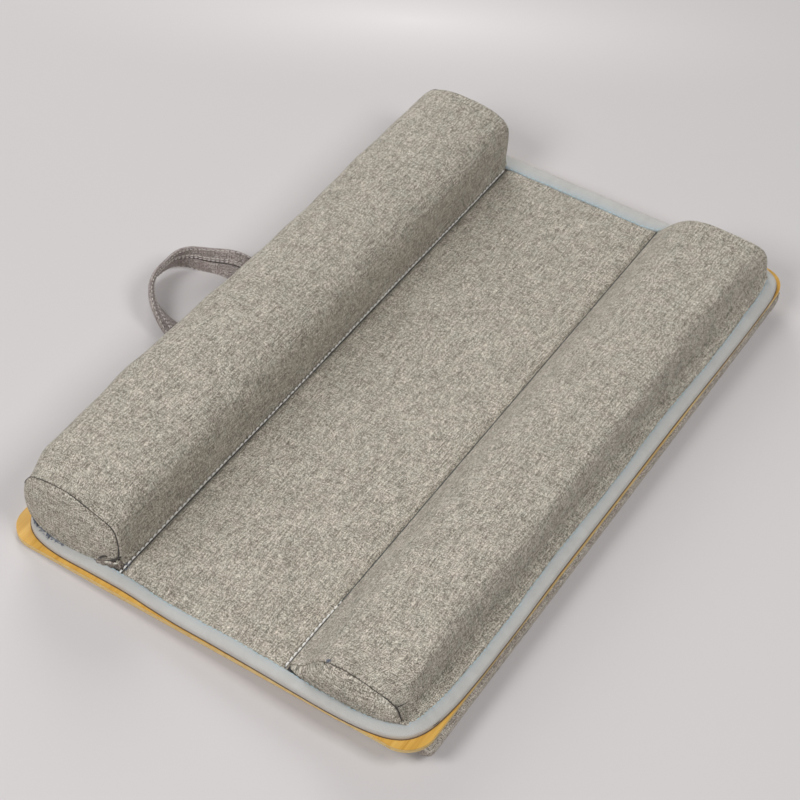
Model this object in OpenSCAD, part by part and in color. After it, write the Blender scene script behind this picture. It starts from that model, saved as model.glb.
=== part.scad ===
// Cushioned lap desk, lying with its cushions up. The board's work face is at
// height zero and faces down, +Y is the rear with the carry handle, and +X runs
// along the board.

/* [Board] */
// Length of the board
board_l = 560; // [460:5:680]
// Depth of the board, front to rear
board_w = 350; // [330:5:400]
// Thickness of the board with its face layers
board_t = 4; // [3:0.5:8]
// Thickness of each face layer
veneer_t = 0.5; // [0.3:0.1:0.8]
// Corner radius of the board
board_r = 22; // [12:1:30]

/* [Pad] */
// How far the pad stays inside each end of the board
pad_end_gap = 3.5; // [2:0.5:8]
// How far the pad stays inside the front edge of the board
pad_front_gap = 0.5; // [0:0.5:4]
// How far the pad stays inside the rear edge of the board
pad_rear_gap = 2; // [1:0.5:4]
// Corner radius of the pad
pad_r = 34; // [26:1:42]
// Thickness of the cover cloth
cloth_t = 1; // [0.6:0.1:1.4]
// Thickness of the backing cloth
backing_t = 0.8; // [0.5:0.1:1.2]
// Thickness of the foam tape between the board and the pad
tape_t = 1.8; // [1.8:0.1:2.6]
// Width of each foam tape
tape_w = 40; // [20:1:45]
// Rise of the padded centre panel
centre_rise = 2.8; // [1.5:0.1:4]

/* [Bolsters] */
// Channel line at the foot of the rear bolster, from the board's centre line
rear_channel_y = 81.5; // [72:0.5:86]
// Channel line at the foot of the front bolster, from the board's centre line
front_channel_y = -62.7; // [-70:0.1:-52]
// Height of the rear bolster above its cloth base
rear_bolster_h = 54.5; // [40:0.5:66]
// How far the rear bolster bulges over its edge binding
rear_overhang = 4; // [2:0.5:6]
// Height of the front bolster above its cloth base
front_bolster_h = 31.5; // [22:0.5:40]
// Width of the flat brim between the front bolster and the edge binding
brim_w = 7.8; // [5:0.1:12]
// Distance from the end of the pad to the end seam of the rear bolster
rear_seam_inset = 12.5; // [11:0.5:18]
// Distance from the end of the pad to the end seam of the front bolster
front_seam_inset = 18.5; // [14:0.5:26]
// Bulge of the sewn end panels
end_bulge = 3.5; // [1:0.1:4]

/* [Binding] */
// Width of the edge binding, seen from above
binding_w = 8.5; // [7.5:0.1:10]
// Height of the edge binding
binding_h = 5.9; // [5.2:0.1:7]
// Ripple of the binding's outer edge
binding_ripple = 0.8; // [0:0.1:1]
// Diameter of the stitching thread
thread_d = 0.7; // [0.4:0.1:1]

/* [Handle] */
// Width of the handle strap
strap_w = 24; // [16:0.5:28]
// Thickness of the folded strap
strap_t = 2.6; // [2:0.1:3]
// Distance between the centres of the strap's two ends
handle_span = 92; // [80:1:140]
// Reach of the strap behind its hinge line
handle_reach = 65; // [50:1:90]
// Place of the handle's middle along the board
handle_x = -13; // [-40:1:40]
// Rise of the strap's centre line where it stands on edge
handle_rise = 11; // [8:0.5:16]
// Length of the strap's sewn-in ends
tab_l = 34; // [25:1:38]
// Thickness of the pressed, sewn-in ends
tab_t = 1.6; // [1:0.1:1.6]

/* [Wrist rest] */
// Length of the wrist rest
rest_l = 526; // [400:2:540]
// Depth of the wrist rest, front to rear
rest_w = 64; // [50:1:80]
// Thickness of the wrist rest
rest_h = 18; // [12:0.5:24]
// How far the wrist rest stands out past the front edge
rest_overhang = 1; // [0:0.5:3]
// Turn of the wrist rest on the board, in degrees
rest_turn = 0.5; // [0:0.1:1]

/* [Hidden] */

// Clearance between soft layers that lie on each other
clear = 0.1;
// Clearance of the strap from its sewn-in ends, and from the board's rear edge
swing_clear = 0.3;
strap_clear = 0.7;
// Overrun of the cuts, and number of sides of the round outlines
overrun = 1;
outline_fn = 96;

// Heights of the pad's layers
backing_z = board_t + tape_t;
base_z = backing_z + backing_t + clear;
cloth_z = base_z + cloth_t;
binding_z = board_t + clear;

// Pad outline: half sizes, and its centre from front to rear
pad_hl = board_l / 2 - pad_end_gap;
pad_rear = board_w / 2 - pad_rear_gap;
pad_front = -board_w / 2 + pad_front_gap;
pad_hw = (pad_rear - pad_front) / 2;
pad_y = (pad_rear + pad_front) / 2;

// The binding's slot holds the edges of the cloth and of the backing
slot_share = 0.3;
slot_floor = backing_z - clear;
slot_roof = cloth_z + clear;
tape_leg_t = 0.7;
edge_inset = slot_share * binding_w + 3 * clear;
toe_inset = binding_w + 4 * clear;

// Widths of the bolsters, from the channel lines out
rear_bolster_w = pad_rear - binding_w + rear_overhang - rear_channel_y;
front_bolster_w = front_channel_y - (pad_front + binding_w + brim_w);

// Profiles from the channel line over the top to the outer edge, as shares of
// each bolster's width and height
rear_shares = [
    [0.015, 0.12], [0.008, 0.35], [0.015, 0.58], [0.04, 0.74], [0.10, 0.845],
    [0.21, 0.91], [0.37, 0.985], [0.57, 1], [0.72, 0.98], [0.82, 0.945],
    [0.90, 0.87], [0.955, 0.75], [0.99, 0.58], [1, 0.40], [0.985, 0.23], [0.955, 0.10]
];
front_shares = [
    [0.03, 0.08], [0.096, 0.27], [0.19, 0.60], [0.32, 0.87], [0.46, 0.985],
    [0.60, 1], [0.74, 0.99], [0.85, 0.945], [0.915, 0.84], [0.95, 0.66],
    [0.965, 0.42], [0.975, 0.20]
];
centre_shares = [[0.05, 0.6], [0.15, 0.92], [0.5, 1], [0.85, 0.92], [0.95, 0.6]];
channel_ledge = 1.7;
valley_h = 2.2;
brim_h = 0.9;

// Stations along the length, as shares of each row's reach
half_shares = [0.3, 0.6, 0.8, 0.94, 0.975, 1];
station_shares = concat(
    [for (i = [len(half_shares) - 1:-1:0]) -half_shares[i]], [0], half_shares
);
crown_share = 0.02;
end_dip_share = 0.03;
lift_run = 6;

// Depth of a point inside the pad's outline
function depth(x, y) =
    let (dx = abs(x) - (pad_hl - pad_r), dy = abs(y - pad_y) - (pad_hw - pad_r))
    dx > 0 && dy > 0 ? pad_r - norm([dx, dy]) : pad_r - max(dx, dy);

// Half length of the pad's outline at y, drawn in by an inset
function reach(y, inset) =
    let (dy = abs(y - pad_y) - (pad_hw - pad_r), r = pad_r - inset)
    pad_hl - pad_r + (dy <= 0 ? r : sqrt(max(0, r * r - dy * dy)));

// One row of the cover: its place from front to rear, its height, its reach and
// whether it is part of a bolster
function row(y, h, far) = [y, h, far, true];
function low_row(y, h, inset) = [y, h, reach(y, inset), false];

rear_seam_x = pad_hl - rear_seam_inset;
front_seam_x = pad_hl - front_seam_inset;
centre_w = rear_channel_y - front_channel_y;

rear_foot_y = pad_rear - toe_inset - clear;
valley_y = front_channel_y - front_bolster_w;

rear_rows = concat(
    [row(rear_foot_y, binding_z + binding_h + 3 * clear - cloth_z,
        reach(rear_foot_y, toe_inset + clear))],
    [for (i = [len(rear_shares) - 1:-1:0]) row(
        rear_channel_y + rear_bolster_w * rear_shares[i][0],
        rear_bolster_h * rear_shares[i][1], rear_seam_x
    )]
);
front_rows = [for (s = front_shares) row(
    front_channel_y - front_bolster_w * s[0],
    front_bolster_h * s[1], front_seam_x
)];
centre_rows = [for (s = centre_shares)
    low_row(rear_channel_y - centre_w * s[0], centre_rise * s[1], edge_inset)];
cover_rows = concat(
    [low_row(pad_rear - edge_inset, 0, edge_inset)],
    [low_row(rear_foot_y, 0, toe_inset + clear)],
    rear_rows,
    [low_row(rear_channel_y, 0, toe_inset + clear)],
    [low_row(rear_channel_y - channel_ledge, 0, edge_inset)],
    centre_rows,
    [low_row(front_channel_y + channel_ledge, 0, edge_inset)],
    [low_row(front_channel_y, 0, toe_inset + clear)],
    front_rows,
    [low_row(valley_y, valley_h, toe_inset + clear)],
    [low_row(pad_front + toe_inset + brim_w / 2, brim_h, toe_inset + clear)],
    [low_row(pad_front + toe_inset + clear, 0, toe_inset + clear)],
    [low_row(pad_front + edge_inset, 0, edge_inset)]
);

// Rows that stand high swell towards the middle, and low ones sink to the binding
dip_from_share = half_shares[len(half_shares) - 2];
function swell(s) = 1 + crown_share * (1 - s * s)
    - end_dip_share * max(0, abs(s) - dip_from_share) / (1 - dip_from_share);
function lift(x, y) = max(0, min(1, (depth(x, y) - toe_inset - cloth_t) / lift_run));
function on_cover(r, s) =
    let (x = s * r[2])
    [x, r[0], cloth_z + r[1] * (r[3] ? swell(s) : lift(x, r[0]))];
function cover_grid(rows, shares) = [for (r = rows) [for (s = shares) on_cover(r, s)]];

// Moves every point of a grid inwards, square to its profile, never below a floor
function sunk(grid, t, floor_z) = [for (j = [0:len(grid) - 1])
    [for (k = [0:len(grid[j]) - 1])
        let (
            a = grid[max(0, j - 1)][k],
            b = grid[min(len(grid) - 1, j + 1)][k],
            d = [b[1] - a[1], b[2] - a[2]],
            n = d / norm(d),
            p = grid[j][k]
        )
        [p[0], p[1] - t * n[1], max(floor_z, p[2] + t * n[0])]
    ]
];
// The flat foot of a grid: its rows spread evenly between the first and the last,
// and stay inside an inset of the pad's outline
function foot(grid, z, inset = 0) = let (m = len(grid) - 1) [for (j = [0:m])
    [for (k = [0:len(grid[j]) - 1])
        let (
            p = grid[j][k],
            y = grid[0][k][1] + (grid[m][k][1] - grid[0][k][1]) * j / m
        )
        [sign(p[0]) * min(abs(p[0]), reach(y, inset)), y, z]]];
function part_of(list, from, to) = [for (i = [from:to]) list[i]];
function joined(lists) = [for (l = lists) each l];
function last(list) = list[len(list) - 1];
function reversed(list) = [for (i = [len(list) - 1:-1:0]) list[i]];

// A closed solid between two grids of points, the upper one first
module slab(upper, lower) {
    m = len(upper);
    n = len(upper[0]);
    under = m * n;
    function at(j, k) = j * n + k;
    tops = [for (j = [0:m - 2], k = [0:n - 2]) each [
        [at(j, k), at(j, k + 1), at(j + 1, k + 1)],
        [at(j, k), at(j + 1, k + 1), at(j + 1, k)]
    ]];
    bottoms = [for (f = tops) [f[2] + under, f[1] + under, f[0] + under]];
    rim = concat(
        [for (k = [0:n - 2]) at(0, k)],
        [for (j = [0:m - 2]) at(j, n - 1)],
        [for (k = [n - 1:-1:1]) at(m - 1, k)],
        [for (j = [m - 1:-1:1]) at(j, 0)]
    );
    sides = [for (i = [0:len(rim) - 1])
        let (a = rim[i], b = rim[(i + 1) % len(rim)]) each [
            [a, a + under, b + under],
            [a, b + under, b]
        ]];
    polyhedron(joined([joined(upper), joined(lower)]), concat(tops, bottoms, sides));
}

// A closed solid through a row of rings, with flat ends or joined into a loop
module sweep(rings, loop = false) {
    m = len(rings);
    n = len(rings[0]);
    function at(j, k) = (j % m) * n + k % n;
    walls = [for (j = [0:m - (loop ? 1 : 2)], k = [0:n - 1]) each [
        [at(j, k), at(j + 1, k), at(j + 1, k + 1)],
        [at(j, k), at(j + 1, k + 1), at(j, k + 1)]
    ]];
    ends = loop ? [] : [for (k = [1:n - 2]) each [
        [at(0, 0), at(0, k), at(0, k + 1)],
        [at(m - 1, 0), at(m - 1, k + 1), at(m - 1, k)]
    ]];
    polyhedron(joined(rings), concat(walls, ends));
}

// Outline of the board, drawn in by an inset
module board_outline(inset = 0) {
    r = board_r - inset;
    hl = board_l / 2 - inset;
    hw = board_w / 2 - inset;
    square([2 * (hl - r), 2 * hw], center = true);
    square([2 * hl, 2 * (hw - r)], center = true);
    for (sx = [-1, 1], sy = [-1, 1])
        translate([sx * (hl - r), sy * (hw - r)]) circle(r, $fn = outline_fn);
}

// Outline of the pad, drawn in by an inset
module pad_outline(inset) {
    r = pad_r - inset;
    translate([0, pad_y]) {
        square([2 * (pad_hl - pad_r), 2 * (pad_hw - inset)], center = true);
        square([2 * (pad_hl - inset), 2 * (pad_hw - pad_r)], center = true);
        for (sx = [-1, 1], sy = [-1, 1])
            translate([sx * (pad_hl - pad_r), sy * (pad_hw - pad_r)])
                circle(r, $fn = outline_fn);
    }
}

// Area of the board under the wrist rest, grown by a margin towards the rear
rest_y = -board_w / 2 - rest_overhang + rest_w / 2;
module rest_area(margin) {
    translate([0, rest_y]) rotate(rest_turn)
        translate([-board_l, -board_w])
            square([2 * board_l, board_w + rest_w / 2 + margin]);
}

module board_core() {
    color("burlywood") translate([0, 0, veneer_t])
        linear_extrude(board_t - 2 * veneer_t) board_outline();
}

module pad_face_veneer() {
    color("goldenrod") translate([0, 0, board_t - veneer_t])
        linear_extrude(veneer_t) board_outline();
}

// The work face's layer is laid up to the wrist rest, which is glued to the core
module work_face_veneer() {
    color("goldenrod") linear_extrude(veneer_t) difference() {
        board_outline();
        rest_area(clear);
    }
}

module foam_tape(y) {
    color("white") translate([0, y, board_t + tape_t / 2])
        cube([2 * rear_seam_x - tape_w, tape_w, tape_t], center = true);
}

module pad_backing() {
    color("dimgray") translate([0, 0, backing_z])
        linear_extrude(backing_t) pad_outline(edge_inset);
}

// The padding under the centre panel, between the two channel lines
module centre_wadding() {
    shares = part_of(station_shares, 2, len(station_shares) - 3);
    under = sunk(cover_grid(centre_rows, shares), cloth_t + clear, base_z + 2 * clear);
    color("whitesmoke") slab(under, foot(under, base_z));
}

// One cloth over both bolsters and the centre, sewn down along two channels
module cover_fabric() {
    over = cover_grid(cover_rows, station_shares);
    color("darkgray") slab(over, sunk(over, cloth_t, base_z));
}

module bolster_filling(rows) {
    shares = [for (s = station_shares) s * (1 - end_dip_share / 2)];
    under = sunk(cover_grid(rows, shares), cloth_t + 2 * clear, base_z + 2 * clear);
    color("whitesmoke") slab(under, foot(under, base_z, toe_inset + 2 * cloth_t));
}

// A sewn end panel: its rim lies inside the cover's end, and its face bulges
panel_shares = [1, 0.82, 0.5, 0.2];
rear_end_rows = part_of(rear_rows, 1, len(rear_rows) - 1);
module bolster_end(rows, side) {
    end = sunk(cover_grid(rows, [1]), cloth_t + 2 * clear, base_z + 2 * clear);
    arch = [for (r = end) r[0] - [cloth_t / 2, 0, 0]];
    n = len(arch);
    hem_n = 5;
    hem_z = base_z + 2 * clear;
    first_y = arch[0][1];
    last_y = arch[n - 1][1];
    hem = [for (i = [1:hem_n]) let (y = last_y + (first_y - last_y) * i / (hem_n + 1))
        [reach(y, toe_inset + 2 * clear), y, hem_z]];
    over_z = binding_z + binding_h + 3 * clear;
    rise = arch[0][2] > over_z ? [[last(hem)[0], last(hem)[1], over_z]] : [];
    ring = concat(arch, hem, rise);
    top_z = max([for (p = arch) p[2]]);
    middle = [last(arch)[0], (first_y + last_y) / 2, (hem_z + top_z) / 2];
    rings = [for (s = panel_shares) [for (p = ring)
        middle + (p - middle) * s + [end_bulge * (1 - s * s), 0, 0]]];
    back = [for (r = reversed(rings)) [for (p = r) p - [cloth_t, 0, 0]]];
    color("gray") mirror([side < 0 ? 1 : 0, 0, 0]) sweep(concat(back, rings));
}

// Profile of the folded edge binding: shares of its width inwards and of its height
binding_shares = [
    [1, 0], [0.25, 0], [0.06, 0.16], [0, 0.42], [0.06, 0.70], [0.22, 0.90],
    [0.45, 1], [0.72, 0.93]
];
corner_n = 7;
long_n = 9;
wide_n = 6;
ripple_n = 7;

// Places round the pad's outline, each with the direction that faces outwards
function corner(sx, sy, from) = [for (i = [0:corner_n - 1])
    let (a = from + 90 * i / (corner_n - 1)) [
        sx * (pad_hl - pad_r), pad_y + sy * (pad_hw - pad_r), a
    ]];
function between(a, b, n) = [for (i = [1:n - 1])
    [a[0] + (b[0] - a[0]) * i / n, a[1] + (b[1] - a[1]) * i / n, a[2]]];
corners = [corner(1, 1, 0), corner(-1, 1, 90), corner(-1, -1, 180), corner(1, -1, 270)];
places = [for (i = [0:3])
    let (here = corners[i], next = corners[(i + 1) % 4])
    each concat(here, between(last(here), next[0], i % 2 == 0 ? long_n : wide_n))];

function binding_ring(p, i) =
    let (
        out = [cos(p[2]), sin(p[2])],
        wave = binding_ripple * sin(360 * ripple_n * i / len(places)),
        outer = [for (s = binding_shares) [
            pad_r - binding_w * s[0] + (s[0] < slot_share ? wave / 2 - binding_ripple / 2 : 0),
            binding_z + binding_h * s[1]
        ]],
        inner = [
            [pad_r - binding_w, slot_roof + tape_leg_t],
            [pad_r - binding_w, slot_roof],
            [pad_r - slot_share * binding_w, slot_roof],
            [pad_r - slot_share * binding_w, slot_floor],
            [pad_r - binding_w, slot_floor]
        ]
    )
    [for (q = reversed(concat(outer, inner)))
        [p[0] + out[0] * q[0], p[1] + out[1] * q[0], q[1]]];

hinge_y = board_w / 2 + strap_clear + strap_t / 2;
hinge_z = board_t + clear + tab_t / 2;
root_xs = [handle_x - handle_span / 2, handle_x + handle_span / 2];

module edge_binding() {
    rings = [for (i = [0:len(places) - 1]) binding_ring(places[i], i)];
    color("lightsteelblue") difference() {
        sweep(rings, true);
        for (x = root_xs)
            translate([x - strap_w / 2 - clear * 2, pad_rear - binding_w - overrun, 0])
                cube([strap_w + clear * 4, binding_w + 2 * overrun,
                    board_t + tab_t + 2 * clear]);
    }
}

module channel_thread(y) {
    l = 2 * (pad_hl - toe_inset - clear);
    color("white") translate([-l / 2, y, cloth_z + clear + thread_d / 2])
        rotate([0, 90, 0]) cylinder(h = l, d = thread_d, $fn = 24);
}

module handle_tab(x) {
    end_y = hinge_y - strap_t / 2 - swing_clear;
    color("darkgray") translate([x - strap_w / 2, end_y - tab_l, board_t + clear])
        cube([strap_w, tab_l, tab_t]);
}

// The strap leaves the board flat, rises and turns on edge round its bow
strap_steps = 24;
root_steps = 3;
edge_share = 0.12;
fold_share = 0.9;
function strap_ring(centre, along, turn, thick_share) =
    let (
        flat_side = [along[1], -along[0], 0],
        side = flat_side * cos(turn) - [0, 0, sin(turn)],
        up = cross([along[0], along[1], 0], side),
        w = strap_w / 2,
        t = strap_t / 2 * thick_share,
        e = strap_w * edge_share
    )
    [for (q = [[w, -t / 2], [w, t / 2], [w - e, t], [0, t * fold_share], [e - w, t],
            [-w, t / 2], [-w, -t / 2], [e - w, -t], [0, -t * fold_share], [w - e, -t]])
        centre + side * q[0] + up * q[1]];
function root_ring(x, along, i) =
    let (a = 90 * i / root_steps)
    strap_ring([x, hinge_y - strap_t / 2 * cos(a), hinge_z], along, 0, sin(a));
function bow_ring(a) =
    let (
        share = 1 - pow(a / 90, 2),
        along = [cos(a) * handle_span / 2, -sin(a) * handle_reach, 0]
    )
    strap_ring(
        [handle_x + handle_span / 2 * sin(a), hinge_y + handle_reach * cos(a),
            hinge_z + handle_rise * share],
        along / norm(along), 90 * share, 1);

module handle_strap() {
    rings = concat(
        [for (i = [1:root_steps - 1]) root_ring(root_xs[0], [0, 1, 0], i)],
        [for (i = [0:strap_steps]) bow_ring(-90 + 180 * i / strap_steps)],
        [for (i = [root_steps - 1:-1:1]) root_ring(root_xs[1], [0, -1, 0], i)]
    );
    color("gray") sweep(rings);
}

// The wrist rest hangs under the board: sections from end to end, each a share of
// the end's radius inwards, a width share and a height share
rest_end_r = 16;
glue_shares = [0.97, 0.86];
rest_end_shares = [
    [0, 0.88, 0.06], [0.03, 0.91, 0.4], [0.12, 0.94, 0.72], [0.4, 0.98, 0.93], [1, 1, 1]
];
rest_profile_shares = [
    [0.985, 0], [1, 0.3], [0.985, 0.62], [0.92, 0.85], [0.78, 0.96], [0.45, 1], [0, 1],
    [-0.45, 1], [-0.78, 0.96], [-0.92, 0.85], [-0.985, 0.62], [-1, 0.3], [-0.985, 0]
];
function rest_sections(hl) = concat(
    [for (s = rest_end_shares) [-hl + rest_end_r * s[0], s[1], s[2]]],
    [[0, 1, 1]],
    [for (i = [len(rest_end_shares) - 1:-1:0]) let (s = rest_end_shares[i])
        [hl - rest_end_r * s[0], s[1], s[2]]]
);
function rest_grid(inset, low) = [for (p = rest_profile_shares)
    [for (s = rest_sections(rest_l / 2 - inset))
        [s[0], (rest_w / 2 - inset) * p[0] * s[1], low + (rest_h - inset - low) * p[1] * s[2]]]];

module under_board() {
    translate([0, rest_y, 0]) rotate(rest_turn) mirror([0, 0, 1]) children();
}

module wrist_rest_glue() {
    color("ivory") linear_extrude(veneer_t) intersection() {
        board_outline(clear);
        translate([0, rest_y]) rotate(rest_turn)
            square([rest_l * glue_shares[0], rest_w * glue_shares[1]], center = true);
    }
}

module wrist_rest_foam() {
    inner = rest_grid(cloth_t + 3 * clear, 4 * clear);
    color("whitesmoke") under_board() slab(inner, foot(inner, clear));
}

module wrist_rest_cover() {
    color("dimgray") under_board() slab(rest_grid(0, 0), rest_grid(cloth_t, 0));
}

board_core();
pad_face_veneer();
work_face_veneer();
foam_tape(rear_channel_y + tape_w / 2);  // rear_foam_tape
foam_tape(rear_channel_y - centre_w / 2);  // centre_foam_tape
foam_tape(front_channel_y - front_bolster_w / 2);  // front_foam_tape
pad_backing();
centre_wadding();
cover_fabric();
bolster_filling(rear_rows);  // rear_bolster_filling
bolster_end(rear_end_rows, -1);  // rear_bolster_left_end
bolster_end(rear_end_rows, 1);  // rear_bolster_right_end
bolster_filling(front_rows);  // front_bolster_filling
bolster_end(front_rows, -1);  // front_bolster_left_end
bolster_end(front_rows, 1);  // front_bolster_right_end
edge_binding();
channel_thread(rear_channel_y - channel_ledge / 2);  // rear_channel_thread
channel_thread(front_channel_y + channel_ledge / 2);  // front_channel_thread
handle_tab(root_xs[0]);  // handle_left_tab
handle_tab(root_xs[1]);  // handle_right_tab
handle_strap();
wrist_rest_glue();
wrist_rest_foam();
wrist_rest_cover();
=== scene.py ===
# Cushioned lap desk: cloth, seams, stitches, tape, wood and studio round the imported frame.
# Lengths in this file are in millimetres and are turned into metres when a mesh is made.
import math

import bpy
import numpy as np
from mathutils import Matrix, Vector


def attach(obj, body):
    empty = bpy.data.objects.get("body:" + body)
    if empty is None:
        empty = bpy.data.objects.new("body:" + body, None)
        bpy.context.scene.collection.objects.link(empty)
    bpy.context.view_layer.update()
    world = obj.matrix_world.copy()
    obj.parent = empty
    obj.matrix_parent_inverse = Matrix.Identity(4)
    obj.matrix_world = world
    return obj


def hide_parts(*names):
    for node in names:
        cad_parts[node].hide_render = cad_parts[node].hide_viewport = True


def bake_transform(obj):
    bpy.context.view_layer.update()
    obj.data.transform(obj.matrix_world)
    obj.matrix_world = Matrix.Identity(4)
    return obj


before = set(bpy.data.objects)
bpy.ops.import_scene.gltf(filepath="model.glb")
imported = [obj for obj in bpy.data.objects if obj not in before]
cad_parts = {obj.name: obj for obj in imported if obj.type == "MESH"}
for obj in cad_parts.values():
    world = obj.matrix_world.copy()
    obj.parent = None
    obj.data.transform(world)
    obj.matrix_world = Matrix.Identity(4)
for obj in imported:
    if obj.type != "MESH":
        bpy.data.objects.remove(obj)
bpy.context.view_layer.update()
metre = 0.001
random = np.random.default_rng(7)
print("frame loaded:", len(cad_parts), "nodes")


# curves and grids

def splineThrough(points, count, closed=False):
    # cubic that passes through every point, with the slope at each one half the step between its neighbours
    p = np.asarray(points, float)
    if closed:
        p = np.vstack([p[-1:], p, p[:2]])
    else:
        p = np.vstack([2 * p[:1] - p[1:2], p, 2 * p[-1:] - p[-2:-1]])
    spans = len(p) - 3
    t = np.linspace(0, spans, count, endpoint=not closed)
    i = np.minimum(t.astype(int), spans - 1)
    f = (t - i)[:, None]
    a, b, c, d = p[i], p[i + 1], p[i + 2], p[i + 3]
    return 0.5 * (2 * b + (c - a) * f + (2 * a - 5 * b + 4 * c - d) * f ** 2
                  + (3 * b - a - 3 * c + d) * f ** 3)


def lengthAlong(curve):
    # running length from the first point of a curve
    return np.concatenate([[0], np.cumsum(np.linalg.norm(np.diff(curve, axis=0), axis=1))])


def evenly(curve, count):
    # the same curve with its points an equal length apart
    run = lengthAlong(curve)
    at = np.linspace(0, run[-1], count)
    return np.stack([np.interp(at, run, curve[:, k]) for k in range(curve.shape[1])], 1)


def smoothLine(points, count, fine):
    # an even line through the points, taken from a finer one
    return evenly(splineThrough(points, fine), count)


def between(a, b, share):
    # a where the share is 0, b where it is 1
    return a * (1 - share) + b * share


def unitRows(vectors):
    return vectors / np.maximum(np.linalg.norm(vectors, axis=-1, keepdims=True), 1e-9)


def outwards(loop):
    # unit vectors square to a closed flat loop round the middle of the desk, away from it
    step = unitRows(np.roll(loop, -1, 0) - np.roll(loop, 1, 0))
    out = np.stack([step[:, 1], -step[:, 0]], 1)
    return out if np.sum(out * loop) > 0 else -out


def ease(t):
    # 0 to 1 with level ends
    t = np.clip(t, 0, 1)
    return t * t * (3 - 2 * t)


def tapered(t, steepness, least=0.0):
    # 1 along a line, falling at both of its ends
    return np.clip(np.minimum(t, 1 - t) * steepness, least, 1)


def unevenness(x, y, waves, size):
    # sum of long sine waves with fixed directions and phases, so a sewn form isn't perfectly straight
    total = np.zeros(np.broadcast(x, y).shape)
    for length, turn, phase in waves:
        k = 2 * math.pi / length
        total += np.sin(k * (x * math.cos(turn) + y * math.sin(turn)) + phase)
    return size * total / len(waves)


def lineDistance(points, line):
    # distance of every point to a broken line in space, and how far along the line it is nearest
    best = np.full(points.shape[:-1], np.inf)
    place = np.zeros(points.shape[:-1])
    line = np.asarray(line, float)
    run = lengthAlong(line)
    for k in range(len(line) - 1):
        a, d = line[k], line[k + 1] - line[k]
        t = np.clip(((points - a) @ d) / (d @ d), 0, 1)
        gap = np.linalg.norm(points - a - t[..., None] * d, axis=-1)
        near = gap < best
        best = np.where(near, gap, best)
        place = np.where(near, run[k] + t * (run[k + 1] - run[k]), place)
    return best, place / run[-1]


def gridUv(along, around):
    # lattice coordinates of a grid from the running lengths of its columns and of its rows
    return np.stack(np.broadcast_arrays(along[None, :], around[:, None]), -1) * metre


def gridFaces(m, n, wrapRows=False, wrapCols=False):
    # the quads of a grid of m by n points, whose last row or column may join the first
    i, j = np.meshgrid(np.arange(m - 1 + wrapRows), np.arange(n - 1 + wrapCols), indexing="ij")
    corners = [(i, j), (i + 1, j), (i + 1, j + 1), (i, j + 1)]
    return np.stack([(a % m) * n + b % n for a, b in corners], -1).reshape(-1, 4), corners


def gridPart(points, uv, joined=False):
    # a tube of quads from a grid whose rows join up; its end columns are closed, or join up as well
    m, n = points.shape[:2]
    quads, corners = gridFaces(m, n, True, joined)
    faces = quads.tolist()
    uvs = [np.stack([uv[a, b] for a, b in corners], -2).reshape(-1, 2)]
    if not joined:
        for order, column in ((slice(None, None, -1), 0), (slice(None), n - 1)):
            faces.append([int(k) * n + column for k in np.arange(m)[order]])
            uvs.append(points[order, column, 1:] * metre)
    return turnedOut({"points": points.reshape(-1, 3), "faces": faces, "uv": np.vstack(uvs)})


def turnedOut(part):
    # faces of a closed part point outwards when the volume that they sign is above zero
    p = part["points"] - part["points"].mean(0)
    volume = 0.0
    quads = np.array([face for face in part["faces"] if len(face) == 4])
    fans = [quads[:, [0, 1, 2]], quads[:, [0, 2, 3]]]
    fans += [np.array([[face[0], face[k], face[k + 1]] for k in range(1, len(face) - 1)])
             for face in part["faces"] if len(face) != 4]
    for t in fans:
        volume += np.einsum("ij,ij->", p[t[:, 0]], np.cross(p[t[:, 1]], p[t[:, 2]]))
    if volume < 0:
        ends = np.cumsum([len(face) for face in part["faces"]])
        order = np.concatenate([np.arange(end - 1, end - 1 - len(face), -1)
                                for end, face in zip(ends, part["faces"])])
        part["faces"] = [face[::-1] for face in part["faces"]]
        part["uv"] = part["uv"][order]
    return part


def shellPart(front, back, uv):
    # a closed thin shell from two grids
    m, n = front.shape[:2]
    top = gridFaces(m, n)[0]
    rim = ([i * n for i in range(m)] + [(m - 1) * n + j for j in range(1, n)]
           + [i * n + n - 1 for i in range(m - 2, -1, -1)] + [j for j in range(n - 2, 0, -1)])
    a, b = np.array(rim), np.roll(rim, -1)
    sides = np.stack([b, a, a + m * n, b + m * n], -1)
    faces = np.concatenate([top, top[:, ::-1] + m * n, sides])
    flatUv = np.vstack([uv.reshape(-1, 2)] * 2)
    points = np.vstack([front.reshape(-1, 3), back.reshape(-1, 3)])
    return turnedOut({"points": points, "faces": faces.tolist(), "uv": flatUv[faces.reshape(-1)]})


def tubePart(path, radii, around=8):
    # a round thread or roll carried along a path, closed at both ends
    along = unitRows(np.gradient(path, axis=0))
    steep = np.abs(along[:, 2:]) > 0.9
    side = unitRows(np.cross(along, np.where(steep, [[0, 1.0, 0]], [[0, 0, 1.0]])))
    up = np.cross(side, along)
    turn = np.linspace(0, 2 * math.pi, around, endpoint=False)[:, None, None]
    points = path[None] + radii[None, :, None] * (side[None] * np.cos(turn) + up[None] * np.sin(turn))
    uv = gridUv(lengthAlong(path), np.linspace(0, 2 * math.pi, around + 1) * radii.mean())
    return gridPart(points, uv)


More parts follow.
